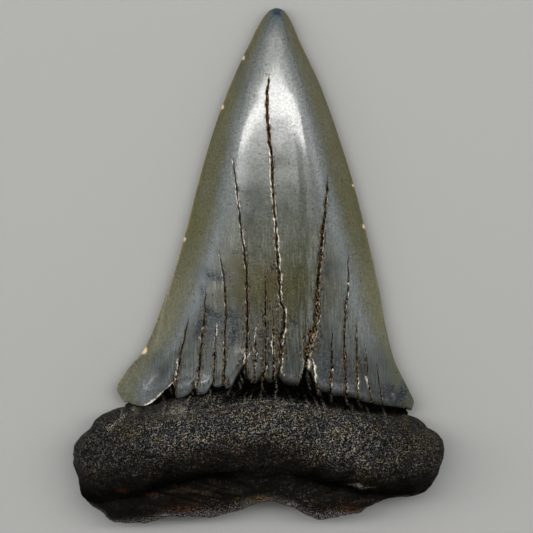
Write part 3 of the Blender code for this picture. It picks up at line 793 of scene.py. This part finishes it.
# %% Surface of the root
ROOT_V = np.concatenate([
    [0.88, 0.91, 0.935],
    np.linspace(0.96, 2, 42),
    np.linspace(2.02, 2.9, 78),
    np.linspace(2.915, 3.1, 20),
    np.linspace(3.12, 3.9, 40),
    [3.92, 3.94, 3.96, 3.98, 3.99, 4],
])
ROOT_COLUMNS, ROOT_BACK_COLUMNS, ROOT_BACK_EVERY = 400, 170, 2
ROOT_SPREAD = 1.35  # how much closer the columns stand towards both sides
ROOT_MAP = (53, (26.5, 62.5), 1, (26.5, 36))
UNDER_CROWN_SINKS, UNDER_CROWN_INSET = 0.8, 0.965  # how the root's end sinks and narrows under the enamel
LUMP = 0.16  # height of the waves of the lobes
HILLS = ((3.2, 0.2), (1.5, 0.17), (0.75, 0.12), (0.38, 0.07))  # size and height
PLEATS = 0.12  # height of the pleats of the neck


def lumps(x, y):
    """Uneven ground of the root: crossed waves, between -1 and 1."""
    long_waves = np.sin(0.9 * x + 0.4 * y + 1) * np.cos(1.1 * y - 0.3 * x)
    short_waves = np.sin(1.9 * x - 0.8 * y) * np.sin(1.6 * y + 0.5 * x + 2)
    return (long_waves + 0.6 * short_waves) / 1.6


def root_skin(at, v):
    """How far the skin stands out at each point: hills of several sizes. The layers of the bone show
    as drawn-out hills on the lower half, and the neck has pleats that run down from the enamel."""
    x, y, z = np.moveaxis(at, -1, 0)
    rough = sum(height * ground(x, y, z, size, 20 + i) for i, (size, height) in enumerate(HILLS))
    slant = y - 0.22 * x * np.sign(x)
    layers = 0.2 * (1 - 3 * np.abs(ground(x * 0.16, slant, z * 0.4, 0.9, 31))) * ease(v, 2.45, 2.8)
    facets = 0.3 * (1 - 3 * np.abs(ground(x, y * 1.3, z, 3, 33))) * ease(np.abs(x - 1), 6, 16)
    facets = facets * ease(v, 1.7, 2.1) * (1 - ease(v, 2.6, 2.9))
    pleats = PLEATS * ground(x + 0.35 * y, y * 0.16, 0, 0.5, 32) * ease(v, 0.95, 1.3)
    pleats = pleats * (1 - ease(v, 2, 2.35))
    return rough * (0.45 + 0.55 * ease(v, 1.7, 2.3)) + layers + facets + pleats


# %% Where the root's colours change
STRANDS = (  # pale threads of the neck, from top to bottom, with a half width and a strength
    ((2.5, -14.2), (2.3, -17), 0.11, 0.8), ((7.3, -13), (8.3, -16.6), 0.16, 1),
    ((6.7, -13.6), (6.9, -16), 0.1, 0.7), ((-1.7, -12.6), (-2.6, -15.8), 0.12, 0.6),
    ((0.6, -13.9), (0.3, -17), 0.1, 0.6), ((9.7, -16.5), (9.9, -17.6), 0.1, 0.6),
    ((11.8, -17.2), (12.1, -18.2), 0.1, 0.6), ((13.5, -17.8), (13.9, -18.8), 0.1, 0.4),
    ((-11.4, -16.2), (-13.2, -18.6), 0.1, 0.4), ((-8.5, -16.4), (-9.8, -18), 0.1, 0.5),
    ((-6.2, -15.7), (-7, -17.6), 0.1, 0.5), ((-3.4, -14.4), (-4.2, -16.6), 0.1, 0.5),
    ((-18.1, -19.5), (-20.5, -21.6), 0.35, 0.5),
)
# where the painted shade on the roll's lower face begins: x, and v
SHADE_STARTS = ((-25, 2.6), (-10, 2.5), (1, 2.46), (7, 2.57), (25, 2.6))
GREY_LUMPS = (((2, -21.5), (5, 2.5), 0.4), ((23, -26), (3, 3), 0.2))
# where the painted shade of the crease under the roll is weaker
LESS_CREVICE_SHADE = (((-18.8, -31.4), (3, 0.9), 0.6),)
TAN = (((22, -23), (3, 1.8), 0.6), ((-18.5, -21), (2, 1), 0.25))
OCHRE = (((0.3, -31.4), (1.8, 0.6), 1), ((19.8, -20.5), (0.5, 0.3), 0.4), ((-16.5, -19.6), (0.8, 0.4), 0.2))
OCHRE_STREAKS = (((-8.5, -29.9), (5, 0.5), 0.25),)
RUST = (((12.6, -32.8), (1.6, 0.8), 0.3), ((-10, -32.6), (2.4, 1), 0.2))
RUST_STREAKS = (((-19.3, -29.6), (1.6, 0.5), 1), ((-15, -30), (2.6, 0.5), 0.4))
SCRATCH = (((14, -28.85), (1.3, 0.16), 1),)


def thread(x, y, top, bottom, half_width):
    """Soft line between two points, which wavers: it fades with the distance from it across."""
    share = np.clip((top[1] - y) / (top[1] - bottom[1]), 0, 1)
    middle = top[0] + (bottom[0] - top[0]) * share + 0.12 * ground(0, y, 0, 0.6, 41)
    return bell(x - middle, half_width) * ease(top[1] - y, -0.2, 0.1) * ease(y - bottom[1], -0.2, 0.3)


def neck_threads(u, v, x, y):
    """Pale threads of the neck: the strands, its pleats, and a broken line along the root's top."""
    strands = sum(s * thread(x, y, top, bottom, width) for top, bottom, width, s in STRANDS)
    ridge = bell(v - 1.92 - 0.08 * ground(x, 0, 0, 1.5, 43), 0.035)
    ridge = ridge * (0.35 + 0.65 * ease(ground(x, 0, 0, 1.1, 44), -0.2, 0.4)) * (1 - u**6)
    pleats = ease(ground(x + 0.4 * y * np.sign(x), y * 0.25, 0, 0.4, 46), 0.1, 0.6) * bell(v - 1.75, 0.3)
    pleats = pleats * (0.5 + 0.4 * ease(-x, 4, 8)) * (0.5 + 0.5 * ease(ground(x, y, 0, 1.3, 47), -0.3, 0.3))
    return np.clip(strands + pleats + 0.45 * ridge, 0, 1)


def root_masks(u, v, x, y, z):
    """Where the neck, the painted shade under the roll, the worn rim and the root's stains lie."""
    # painted shade: the crease along the ledge, where the roll shadows the plate
    crevice = bell(v - 3 - 0.05 * ground(x, 0, 0, 2, 45), 0.14)
    streaks = ease(ground(x * 0.35, y - 0.2 * x, 0, 0.5, 48), -0.1, 0.5)
    # painted shade on the roll's lower face, under the ledge
    under = ease(v - through(SHADE_STARTS, x), 0, 0.3) * (0.8 + 0.2 * ease(v, 2.95, 3.05))
    return {
        "neck": (1 - ease(v, 1.55, 2.12)) * (1 - 0.75 * ease(-x, 1.5, 9) * ease(v, 1.05, 1.4)),
        "thread": neck_threads(u, v, x, y),
        "crevice": crevice * (0.45 + 0.55 * ease(np.abs(x - 1), 2, 6)) * (1 - patches(x, y, LESS_CREVICE_SHADE)),
        "rim": ease(v, 3.68, 3.9),
        "under": under * (1 - 0.8 * ease(v, 3.55, 3.88)) * (1 - 0.12 * ease(x, 1, 5) * ease(v, 3.1, 3.3)),
        "lobe": ease(np.abs(x - 1), 11, 20) + patches(x, y, GREY_LUMPS),
        "layer": 0.5 + 0.5 * ground(x * 0.25, y - 0.22 * x * np.sign(x), z * 0.4, 0.35, 49),
        "rust": streaks * patches(x, y, RUST_STREAKS) + patches(x, y, RUST),
        "ochre": streaks * patches(x, y, OCHRE_STREAKS) + patches(x, y, OCHRE),
        "line": patches(x, y + 0.25 * ground(x, 0, 0, 1.2, 51), SCRATCH),
        "tan": patches(x, y, TAN),
    }


# %% Make the root
def root_face(u, v, height_of, lip, edge_line, enamel_edge):
    """One face of the root, and how far each point is hidden under the enamel. There it draws in."""
    rows, v = v, v[:, None]
    u = u * (1 - (1 - UNDER_CROWN_INSET) * (1 - ease(v, 1, 1.6)))
    x, y, half_width = place(u, rows, edge_line)
    hidden = ease(y - through(enamel_edge, x), -0.15, 0.25)
    z = height_of(u, v, x, half_width, lip * (1 - ease(v, 1.5, 2)))
    return x, y, z, v, hidden


def make_root():
    across = np.sin(np.linspace(-1, 1, ROOT_COLUMNS) * ROOT_SPREAD) / np.sin(ROOT_SPREAD)
    u = np.tile(across, (len(ROOT_V), 1))
    x, y, z, v, hidden = root_face(u, ROOT_V, inner_height, LIP, UNDER_ENAMEL, ENAMEL_EDGE)
    z = z + LUMP * lumps(x, y) * ease(v, 1.9, 2.3) * (1 - u**4) * base_rounding(v)
    z = z - UNDER_CROWN_SINKS * hidden * (1 - u**8)
    masks = root_masks(u, v, x, y, z)
    front = np.dstack([x, y, z])
    free = (1 - hidden) * (0.4 + 0.6 * (1 - u**8) * base_rounding(v))
    front = push_out(front, root_skin(front, v) * free, True)

    rows = [*range(0, len(ROOT_V) - 2, ROOT_BACK_EVERY), len(ROOT_V) - 2]
    u = np.tile(np.linspace(-1, 1, ROOT_BACK_COLUMNS), (len(rows), 1))
    lines = BACK_ENAMEL_EDGE, BACK_ENAMEL_EDGE
    x, y, z, v, hidden = root_face(u, ROOT_V[rows], outer_height, BACK_LIP, *lines)
    z = z + UNDER_CROWN_SINKS * hidden * (1 - u**8)
    back = np.dstack([x, y, z])
    back = push_out(back, -np.abs(root_skin(back, v)) * (1 - hidden) * (1 - u**8), False)
    back_masks = root_masks(u, v, x, y, z)
    for name, values in masks.items():
        masks[name] = values_of(values + 0 * front[..., 0], back_masks[name] + 0 * u)
    shell = closed_shell(front, back, rows, nearest_columns(across, u[-1]))
    return make_piece("root", *shell, masks, ROOT_MAP)


root = make_root()

# %% [markdown]
# ## Building materials from parts
#
# A material is a tree of nodes. These helpers keep such trees short to read: `add` makes a node and
# fills its inputs, and a `Wire` is a node's output that Python can reckon with, so that a product of
# two wires makes a Multiply node. `painted` lays colours over one another.


# %% Nodes and wires
def fill(tree, node, inputs):
    """Fills a node's inputs with plain values or with wires."""
    for socket, value in inputs.items():
        if isinstance(value, Wire):
            tree.links.new(value.output, node.inputs[socket])
        else:
            node.inputs[socket].default_value = value


def add(tree, kind, inputs=None, output=0, **settings):
    """A new node of this kind, with its settings made and its inputs filled: one output, as a wire."""
    node = tree.nodes.new(kind)
    for setting, value in settings.items():
        setattr(node, setting, value)
    fill(tree, node, inputs or {})
    return Wire(tree, node.outputs[output])


def step(operation):
    """A Python operator that adds a Math node."""
    return lambda first, second: first.reckon(operation, second)


class Wire:
    """The output of a node. a + b, a - b, a * b, a / b and a ** b add a node that reckons this, a | b
    takes the larger of two masks, and a & b the smaller."""

    def __init__(self, tree, output):
        self.tree, self.output = tree, output

    def reckon(self, operation, *others):
        inputs = dict(enumerate((self, *others)))
        return add(self.tree, "ShaderNodeMath", inputs, operation=operation)

    __add__, __sub__, __mul__ = step("ADD"), step("SUBTRACT"), step("MULTIPLY")
    __truediv__, __pow__ = step("DIVIDE"), step("POWER")
    __or__, __and__ = step("MAXIMUM"), step("MINIMUM")

    def beside(self, name):
        """Another output of the same node."""
        return Wire(self.tree, self.output.node.outputs[name])

    def rest(self):
        """What is missing to 1."""
        return self.reckon("MULTIPLY_ADD", -1, 1)

    def spread(self, low, high, to_low=0, to_high=1):
        """This value from low to high, stretched over another range and held at its ends."""
        inputs = {"Value": self, "From Min": low, "From Max": high, "To Min": to_low, "To Max": to_high}
        return add(self.tree, "ShaderNodeMapRange", inputs, interpolation_type="SMOOTHSTEP")


# %% Colours, masks and coordinates
MIX_SHARE, MIX_FIRST, MIX_SECOND, MIX_COLOUR = 0, 6, 7, 2  # sockets of a Mix node set to colours


def tint(colour):
    """A colour as its socket takes it: a wire as it is, and red, green and blue with a full alpha."""
    return colour if isinstance(colour, Wire) else (*colour, 1)


def painted(colour, *layers):
    """A colour with others laid over it in turn. Each layer is how much of it shows, and its colour."""
    for share, layer in layers:
        inputs = {MIX_SHARE: share, MIX_FIRST: tint(colour), MIX_SECOND: tint(layer)}
        colour = add(share.tree, "ShaderNodeMix", inputs, MIX_COLOUR, data_type="RGBA")
    return colour


def dimmed(colour, value):
    """A colour made darker or lighter: all of it is multiplied by a value."""
    grey = add(value.tree, "ShaderNodeCombineColor", {0: value, 1: value, 2: value})
    inputs = {MIX_SHARE: 1, MIX_FIRST: tint(colour), MIX_SECOND: grey}
    settings = {"data_type": "RGBA", "blend_type": "MULTIPLY"}
    return add(value.tree, "ShaderNodeMix", inputs, MIX_COLOUR, **settings)


def masks_of(tree, piece):
    """The masks that a piece's mesh carries, by name."""
    names = [values.name for values in piece.data.attributes if values.data_type == "FLOAT"]
    return {name: add(tree, "ShaderNodeAttribute", None, "Fac", attribute_name=name) for name in names}


def in_mm(tree, stretch=(1, 1, 1)):
    """Object coordinates in mm, stretched by a factor along each axis."""
    where = add(tree, "ShaderNodeTexCoord", None, "Object")
    return add(tree, "ShaderNodeMapping", {"Vector": where, "Scale": [part / MM for part in stretch]})


def bumped(tree, relief):
    """The normal of a surface whose height is given in mm."""
    return add(tree, "ShaderNodeBump", {"Height": relief, "Strength": 1, "Distance": MM})


def new_material(name, roughness):
    """A material with its node tree and its shader."""
    material = bpy.data.materials.new(name)
    material.use_nodes = True
    tree, shader = material.node_tree, material.node_tree.nodes["Principled BSDF"]
    fill(tree, shader, {"Roughness": roughness})
    return material, tree, shader


# %% [markdown]
# ## Grain and specks
#
# Two effects come back in both materials, so each is a node group with named sockets. Grain is fine
# mottling, like the crystals of enamel or the pores of bone. Specks are small separate dots spread at
# random, of which a chosen share shows: pits in the enamel, and painted glints on the bone's grains.


# %% The two shared groups
def group_of(name, numbers, outputs):
    """A node group that reads a vector and some numbers: its tree, what it is given, and its end."""
    tree = bpy.data.node_groups.new(name, "ShaderNodeTree")
    tree.interface.new_socket("Vector", in_out="INPUT", socket_type="NodeSocketVector")
    for label, value in numbers.items():
        socket = tree.interface.new_socket(label, in_out="INPUT", socket_type="NodeSocketFloat")
        socket.default_value = value
    for label in outputs:
        tree.interface.new_socket(label, in_out="OUTPUT", socket_type="NodeSocketFloat")
    start, end = tree.nodes.new("NodeGroupInput"), tree.nodes.new("NodeGroupOutput")
    return tree, {label: Wire(tree, start.outputs[label]) for label in ("Vector", *numbers)}, end


grain_group, given, end = group_of("grain", {"Size": 1, "Depth": 2}, ("Even", "Sharp"))
inputs = {"Vector": given["Vector"], "Scale": given["Size"] ** -1, "Detail": given["Depth"]}
clouds = add(grain_group, "ShaderNodeTexNoise", {**inputs, "Roughness": 0.55})
fill(grain_group, end, {"Even": clouds, "Sharp": clouds.spread(0.4, 0.62)})

speck_group, given, end = group_of("specks", {"Spacing": 1, "Radius": 0.2, "Share": 0.5}, ("Dots",))
inputs = {"Vector": given["Vector"], "Scale": given["Spacing"] ** -1}
cells = add(speck_group, "ShaderNodeTexVoronoi", inputs, "Distance")
dot = (cells * given["Spacing"]).spread(given["Radius"] * 0.5, given["Radius"], 1, 0)
chance = add(speck_group, "ShaderNodeSeparateColor", {0: cells.beside("Color")})
fill(speck_group, end, {"Dots": dot * chance.reckon("LESS_THAN", given["Share"])})


def grain(vector, size, depth):
    """Grain about `size` mm wide, broken up more finely the greater its depth."""
    inputs = {"Vector": vector, "Size": size, "Depth": depth}
    return add(vector.tree, "ShaderNodeGroup", inputs, node_tree=grain_group)


def specks(vector, spacing, radius, share):
    """Dots of this radius, of which a share shows, about `spacing` mm apart."""
    inputs = {"Vector": vector, "Spacing": spacing, "Radius": radius, "Share": share}
    return add(vector.tree, "ShaderNodeGroup", inputs, node_tree=speck_group)


print("node groups:", [group.name for group in bpy.data.node_groups])

# %% [markdown]
# ## Fossil enamel
#
# Minerals have turned the enamel steel grey, a little olive in the middle. It is thin along the
# cutting edges, where light shines through and makes it olive. Just inside them a pale strip is
# painted: the reflection of the lights on the flanks. Each tongue pales at its end and then goes
# black. Fine lines run down the crown, and dark stains lie beside the cracks. A ramp gives the grey
# from root to tip, and masks and grain decide where the other colours show.

# %% Patterns in the enamel
enamel, tree, shader = new_material("fossil_enamel", 0.2)
mask = masks_of(tree, crown)
where = in_mm(tree)
broad, fine = grain(where, 4, 3), grain(where, 0.3, 3)
blotch = grain(in_mm(tree, (1, 0.5, 1)), 1.1, 3)
beads = grain(in_mm(tree, (1, 0.7, 1)), 0.26, 2)
lines = grain(in_mm(tree, (1, 0.07, 1)), 0.24, 2)
pit = specks(where, 0.8, 0.15, 0.35)
height = add(tree, "ShaderNodeSeparateXYZ", {0: where}, "Y")
lower = height.spread(14, 0)

# %% Grey and olive of the enamel
STEEL_DOWN_THE_CROWN = (  # y in mm, and colour
    (-20, (0.052, 0.062, 0.064)), (-9, (0.062, 0.072, 0.066)), (-1, (0.056, 0.058, 0.034)),
    (4, (0.057, 0.06, 0.04)), (11, (0.039, 0.045, 0.035)), (20, (0.08, 0.086, 0.082)),
    (27, (0.07, 0.076, 0.069)), (32, (0.057, 0.064, 0.058)), (34.8, (0.045, 0.06, 0.065)),
)
bottom, top = STEEL_DOWN_THE_CROWN[0][0], STEEL_DOWN_THE_CROWN[-1][0]
steel = add(tree, "ShaderNodeValToRGB", {"Fac": (height - bottom) / (top - bottom)})
stops = steel.output.node.color_ramp.elements
while len(stops) < len(STEEL_DOWN_THE_CROWN):
    stops.new(0.5)
for stop, (y, colour) in zip(stops, STEEL_DOWN_THE_CROWN):
    stop.position, stop.color = (y - bottom) / (top - bottom), tint(colour)
olive = painted(
    (0.051, 0.047, 0.006),
    (height.spread(4, -4), (0.078, 0.072, 0.028)),
    (height.spread(-6, -14), (0.07, 0.072, 0.044)),
    (broad.spread(0.35, 0.7, 0, 0.6), (0.055, 0.058, 0.03)),
    (mask["rim_line"] * 0.7, (0.15, 0.1, 0.02)),
)
stain = mask["stain"] * fine.spread(0.35, 0.6, 0.3, 1.4)
fade = mask["fade"] * fine.spread(0.25, 0.55, 0.75, 1)
colour = painted(
    steel,
    (blotch.spread(0.35, 0.65) * 0.3, (0.045, 0.052, 0.045)),
    (lines.beside("Sharp") * lower * 0.65, (0.024, 0.025, 0.014)),
    (lines.spread(0.5, 0.34) * lower * 0.45, (0.105, 0.11, 0.09)),
    (mask["warm"] * lines.spread(0.2, 0.6, 0.7, 1) * 0.92, (0.046, 0.04, 0.006)),
    # painted reflection of the lights on the flanks
    (mask["band"] * 0.8, (0.122, 0.136, 0.141)),
    (mask["tongue"] * 0.5, (0.085, 0.098, 0.105)),
    (mask["margin"] * 0.95, olive),
    (stain, (0.006, 0.01, 0.015)),
    (mask["tip_dot"], (0.045, 0.075, 0.1)),
    (fade, (0.003, 0.003, 0.004)),
)
colour = dimmed(colour, fine.spread(0.32, 0.68, 0.72, 1.28))
print("the enamel's grey is set at", len(stops), "heights")

# %% [markdown]
# ## Dirt, cracks and gloss
#
# Clay has filled the cracks with brown and cream grains, and soil has crept out beside them. A lip
# that flaked shows cream. All of this is dull. Clean enamel has a clear coat over a worn surface, and
# where it is stained or bare the coat is left out. Black places are made metallic: a metal of a dark
# colour reflects almost nothing, while a plain shader always keeps a grey sheen.

# %% Dirt and finish of the enamel
dirt = mask["dirt"] * lines.spread(0.44, 0.56, 0.2, 1.5) & 0.95
soil = painted(
    (0.004, 0.004, 0.004),
    (beads.beside("Sharp"), (0.05, 0.032, 0.009)),
    (beads.spread(0.66, 0.72), (0.22, 0.18, 0.1)),
)
clay = painted((0.16, 0.07, 0.015), (height.spread(19, 15), (0.075, 0.045, 0.013)))
inside = painted(
    (0.002, 0.002, 0.0015), (beads.spread(0.48, 0.57), clay), (beads.spread(0.64, 0.72), (0.38, 0.3, 0.19)),
)
cream = painted(
    (0.13, 0.1, 0.06), (beads.spread(0.36, 0.52), (0.66, 0.63, 0.54)), (mask["edge"], (0.56, 0.41, 0.23)),
)
pits = (pit * 0.85, (0.01, 0.01, 0.008))
colour = painted(colour, pits, (dirt, soil), (mask["crack"], inside), (mask["chip"], cream))

broken = mask["crack"] | mask["chip"]
worn_edge = mask["edge"] * 0.6 | mask["foot"]
dull = mask["chip"] | worn_edge * 0.85 | (dirt | broken) * 0.4
soaked = (mask["warm"] | stain) * 0.7 | mask["tip_dot"] | fade
clean = ((dull | broken | soaked) & 1).rest()
night = (mask["fade"] ** 3 | mask["tip_dot"] * 0.7) & 0.95
grimy = dirt * beads.spread(0.56, 0.44, 0, 0.85) | (stain & 1) * 0.4 | mask["warm"] * 0.35
relief = fine * 0.02 + blotch * 0.012 + lines * lower * 0.008 + beads * broken * 0.08 - pit * 0.04
fill(tree, shader, {
    "Base Color": colour,
    "Roughness": blotch.spread(0.3, 0.7, 0.14, 0.26) + dull * 0.5,
    "IOR": 1.62,
    "Specular IOR Level": 0.22,
    "Coat Weight": clean * fine.spread(0.38, 0.56, 0.68, 1),
    "Coat Roughness": 0.13,
    "Coat IOR": 1.62,
    "Metallic": mask["crack"] * beads.spread(0.54, 0.46) | night | grimy,
    "Normal": bumped(tree, relief),
})
crown.data.materials.append(enamel)
print("the enamel has", len(tree.nodes), "nodes")

# %% [markdown]
# ## Fossil bone
#
# The root is nearly black. Its grains show as grey and brown points, partly their own paler colour and
# partly painted glints of the lights, its pores stay dark, and its worn base is paler and brownish.
# Painted shade dims the grains on the roll's lower face and blackens the crease under it. The neck is
# the blackest part, crossed by pale threads where the cracks of the enamel run out. Here black is the
# ground, and grey shows where the grain is strong enough.

# %% Root material
bone, tree, shader = new_material("fossil_bone", 0.45)
mask = masks_of(tree, root)
where = in_mm(tree)
grit, grains, dust, patch = (grain(where, *kind) for kind in ((0.18, 3), (0.42, 1), (1.6, 3), (6, 2)))
# painted glints: pale dots in the colour where grains catch the light
glints = specks(where, 0.36, 0.11, 0.2)

# painted shade dims the grains under the roll; the lobes and random mottling dim them too
shade_and_mottle = (mask["under"] * mask["layer"].spread(0.35, 0.75, 0.99, 0.78)).rest() * (mask["lobe"] * 0.55).rest()
shade_and_mottle = shade_and_mottle * dust.spread(0.3, 0.65, 0.45, 1.2) * grains.spread(0.32, 0.66, 0.35, 1.6)
brown = (dust.spread(0.4, 0.65), (0.145, 0.125, 0.088))
# grey of the grains: partly their own paler colour, partly painted glints of the lights
grey = painted((0.17, 0.17, 0.17), brown, (mask["under"] * 0.6, (0.19, 0.13, 0.06)))
worn_base = (mask["rim"] * 0.9, (0.34, 0.3, 0.29))
grey = painted(dimmed(grey, shade_and_mottle), (mask["tan"] * 0.8, (0.16, 0.125, 0.075)), worn_base)
# colour of the painted glints on the grains
glint_colour = painted((0.17, 0.165, 0.16), (dust.beside("Sharp"), (0.19, 0.15, 0.09)))
# fewer grey grains where the painted shade under the roll falls
bare = grit + patch.spread(0.3, 0.7) * 0.02 - mask["under"] * 0.035
# black of the neck, and painted shade in the crease under the roll
dark = mask["neck"] * grit.spread(0.7, 0.56, 0.9, 1) | mask["crevice"] * 0.9
colour = painted(
    (0.002, 0.002, 0.0015),
    (bare.spread(0.49, 0.66), grey),
    (glints * shade_and_mottle * 0.8, glint_colour),
    (mask["rust"] * grit.spread(0.42, 0.6) * 0.9, (0.17, 0.045, 0.008)),
    (mask["ochre"] * grit.spread(0.4, 0.6) * 0.7, (0.2, 0.13, 0.05)),
    (dark, (0.0008, 0.0008, 0.0006)),
    ((mask["thread"] | mask["line"]) * grit.spread(0.44, 0.6), (0.3, 0.28, 0.23)),
)
fill(tree, shader, {
    "Base Color": colour,
    "Roughness": patch.spread(0.35, 0.65, 0.5, 0.62) + dark * 0.4 - glints * 0.2,
    "Specular IOR Level": 0.04,
    "Metallic": dark * 0.9,
    "Normal": bumped(tree, grit * 0.16 + dust * 0.3),
})
root.data.materials.append(bone)
print("the bone has", len(tree.nodes), "nodes")

# %% [markdown]
# ## Floor and light
#
# The tooth lies on a plain pale floor. Long soft strips hang over it in a row from front to back, and
# each fills a range of angles as seen from the tooth. The brightest lies a little beyond the tip and
# makes the pale arch on the upper crown. It reaches further left than right, as the arch does. Low
# lights on both sides lift the flanks, and a faint sky fills the shadows.

# %% Floor
FLOOR_REACH = 3  # metres to each side
floor_mesh = bpy.data.meshes.new("floor")
around = ((-1, -1), (1, -1), (1, 1), (-1, 1))
floor_mesh.from_pydata([(x * FLOOR_REACH, y * FLOOR_REACH, 0) for x, y in around], [], [(0, 1, 2, 3)])
floor = bpy.data.objects.new("floor", floor_mesh)
floor.location.z = cad_box[0].z
bpy.context.scene.collection.objects.link(floor)
floor_material, tree, shader = new_material("pale_floor", 0.8)
fill(tree, shader, {"Base Color": tint((0.27, 0.27, 0.265))})
floor_mesh.materials.append(floor_material)
floor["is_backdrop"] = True

# %% Lights
LAMP_AWAY = 0.7  # metres from the tooth
LAMP_TURN = np.radians(-0.3)  # of the strips, seen from above
LAMP_COLOUR = (1, 0.99, 0.965)
STRIPS = (  # name, from and to how many degrees off the vertical, to the left and right in m, radiance
    ("near_light", 6.2, 12.1, 1.1, 0.34, 3.4),
    ("key_light", 12.1, 20, 1.4, 0.79, 12),
    ("wide_light", 11.5, 36, 2.5, 2.5, 1.2),
    ("far_light", 20, 31, 1.1, 1.1, 0.8),
    ("back_light", 36, 75, 2.5, 2.5, 0.7),
    ("front_light", -60, -38, 1.5, 1.5, 0.7),
)
SIDE_LIGHTS = (("left_light", -1), ("right_light", 1))
SIDE_AWAY, SIDE_UP, SIDE_HEIGHT, SIDE_LENGTH, SIDE_RADIANCE = 1, 0.25, 0.4, 1.6, 0.72
SIDE_COLOUR = (0.92, 0.97, 1)
SKY_COLOUR, SKY_STRENGTH = (0.93, 0.98, 1), 0.13


def hang(name, length, height, where, up, radiance, colour):
    """A rectangle of light that faces the tooth. Its power is its area, times pi, times its radiance."""
    lamp = bpy.data.lights.new(name, "AREA")
    lamp.shape, lamp.size, lamp.size_y = "RECTANGLE", length, height
    lamp.energy = length * height * np.pi * radiance
    lamp.color = colour
    light = bpy.data.objects.new(name, lamp)
    light.location = where
    light.rotation_mode = "QUATERNION"
    light.rotation_quaternion = (-where).to_track_quat("-Z", up)
    light.visible_camera = False
    bpy.context.scene.collection.objects.link(light)
    return light


for name, near, far, left, right, radiance in STRIPS:
    middle = np.radians((near + far) / 2)
    away = Vector((0, LAMP_AWAY * np.sin(middle), LAMP_AWAY * np.cos(middle)))
    depth = 2 * LAMP_AWAY * np.tan(np.radians(far - near) / 2)
    away = Matrix.Rotation(LAMP_TURN, 3, "Z") @ away
    light = hang(name, left + right, depth, away, "Y", radiance, LAMP_COLOUR)
    light.location.x += (right - left) / 2
for name, side in SIDE_LIGHTS:
    away = Vector((side * SIDE_AWAY, 0, SIDE_UP))
    hang(name, SIDE_LENGTH, SIDE_HEIGHT, away, "Z", SIDE_RADIANCE, SIDE_COLOUR)

world = bpy.data.worlds.new("studio")
world.use_nodes = True
sky = {"Color": tint(SKY_COLOUR), "Strength": SKY_STRENGTH}
fill(world.node_tree, world.node_tree.nodes["Background"], sky)
bpy.context.scene.world = world
bpy.context.scene.view_settings.view_transform = "Standard"
print("lights:", len(STRIPS) + len(SIDE_LIGHTS))

# %% [markdown]
# ## Camera
#
# The camera looks down through a long lens, tilted ten degrees towards the tip, so the tooth shows
# almost as a plan. Its axes are built from the tilt, and its lens from the width to be covered.

# %% The camera
FRAME_WIDTH = 0.0722  # what the picture's width covers at the tooth
FRAME_MIDDLE = Vector((0.00107, -0.0005, 0))
CAMERA_TILT = np.radians(10)
CAMERA_AWAY = 1.5
SENSOR = 36  # mm

camera_data = bpy.data.cameras.new("camera")
camera_data.sensor_width = SENSOR
camera_data.lens = SENSOR * CAMERA_AWAY / FRAME_WIDTH
camera_data.clip_start, camera_data.clip_end = 0.05, 20
camera = bpy.data.objects.new("camera", camera_data)
image_right = Vector((1, 0, 0))
image_up = Vector((0, np.cos(CAMERA_TILT), -np.sin(CAMERA_TILT)))
towards_camera = image_right.cross(image_up)
turn = Matrix((image_right, image_up, towards_camera)).transposed()
camera.matrix_world = Matrix.Translation(FRAME_MIDDLE + towards_camera * CAMERA_AWAY) @ turn.to_4x4()
bpy.context.scene.collection.objects.link(camera)
bpy.context.scene.camera = camera
print("lens:", round(camera_data.lens), "mm")

# %% [markdown]
# ## Put the pieces in the solid's place
#
# Both pieces stand for the one solid of the tooth, which is hidden, and move with its body. The
# boxes of the solid and of the pieces are printed.

# %% Ride and replace
for piece, finish_slot in ((crown, "enamel"), (root, "root")):
    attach(piece, "root")
    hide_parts("tooth")

sizes = {"cad": cad_box, "visual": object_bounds()}
sizes = {name: [list(corner) for corner in corners] for name, corners in sizes.items()}
print("boxes:", sizes)
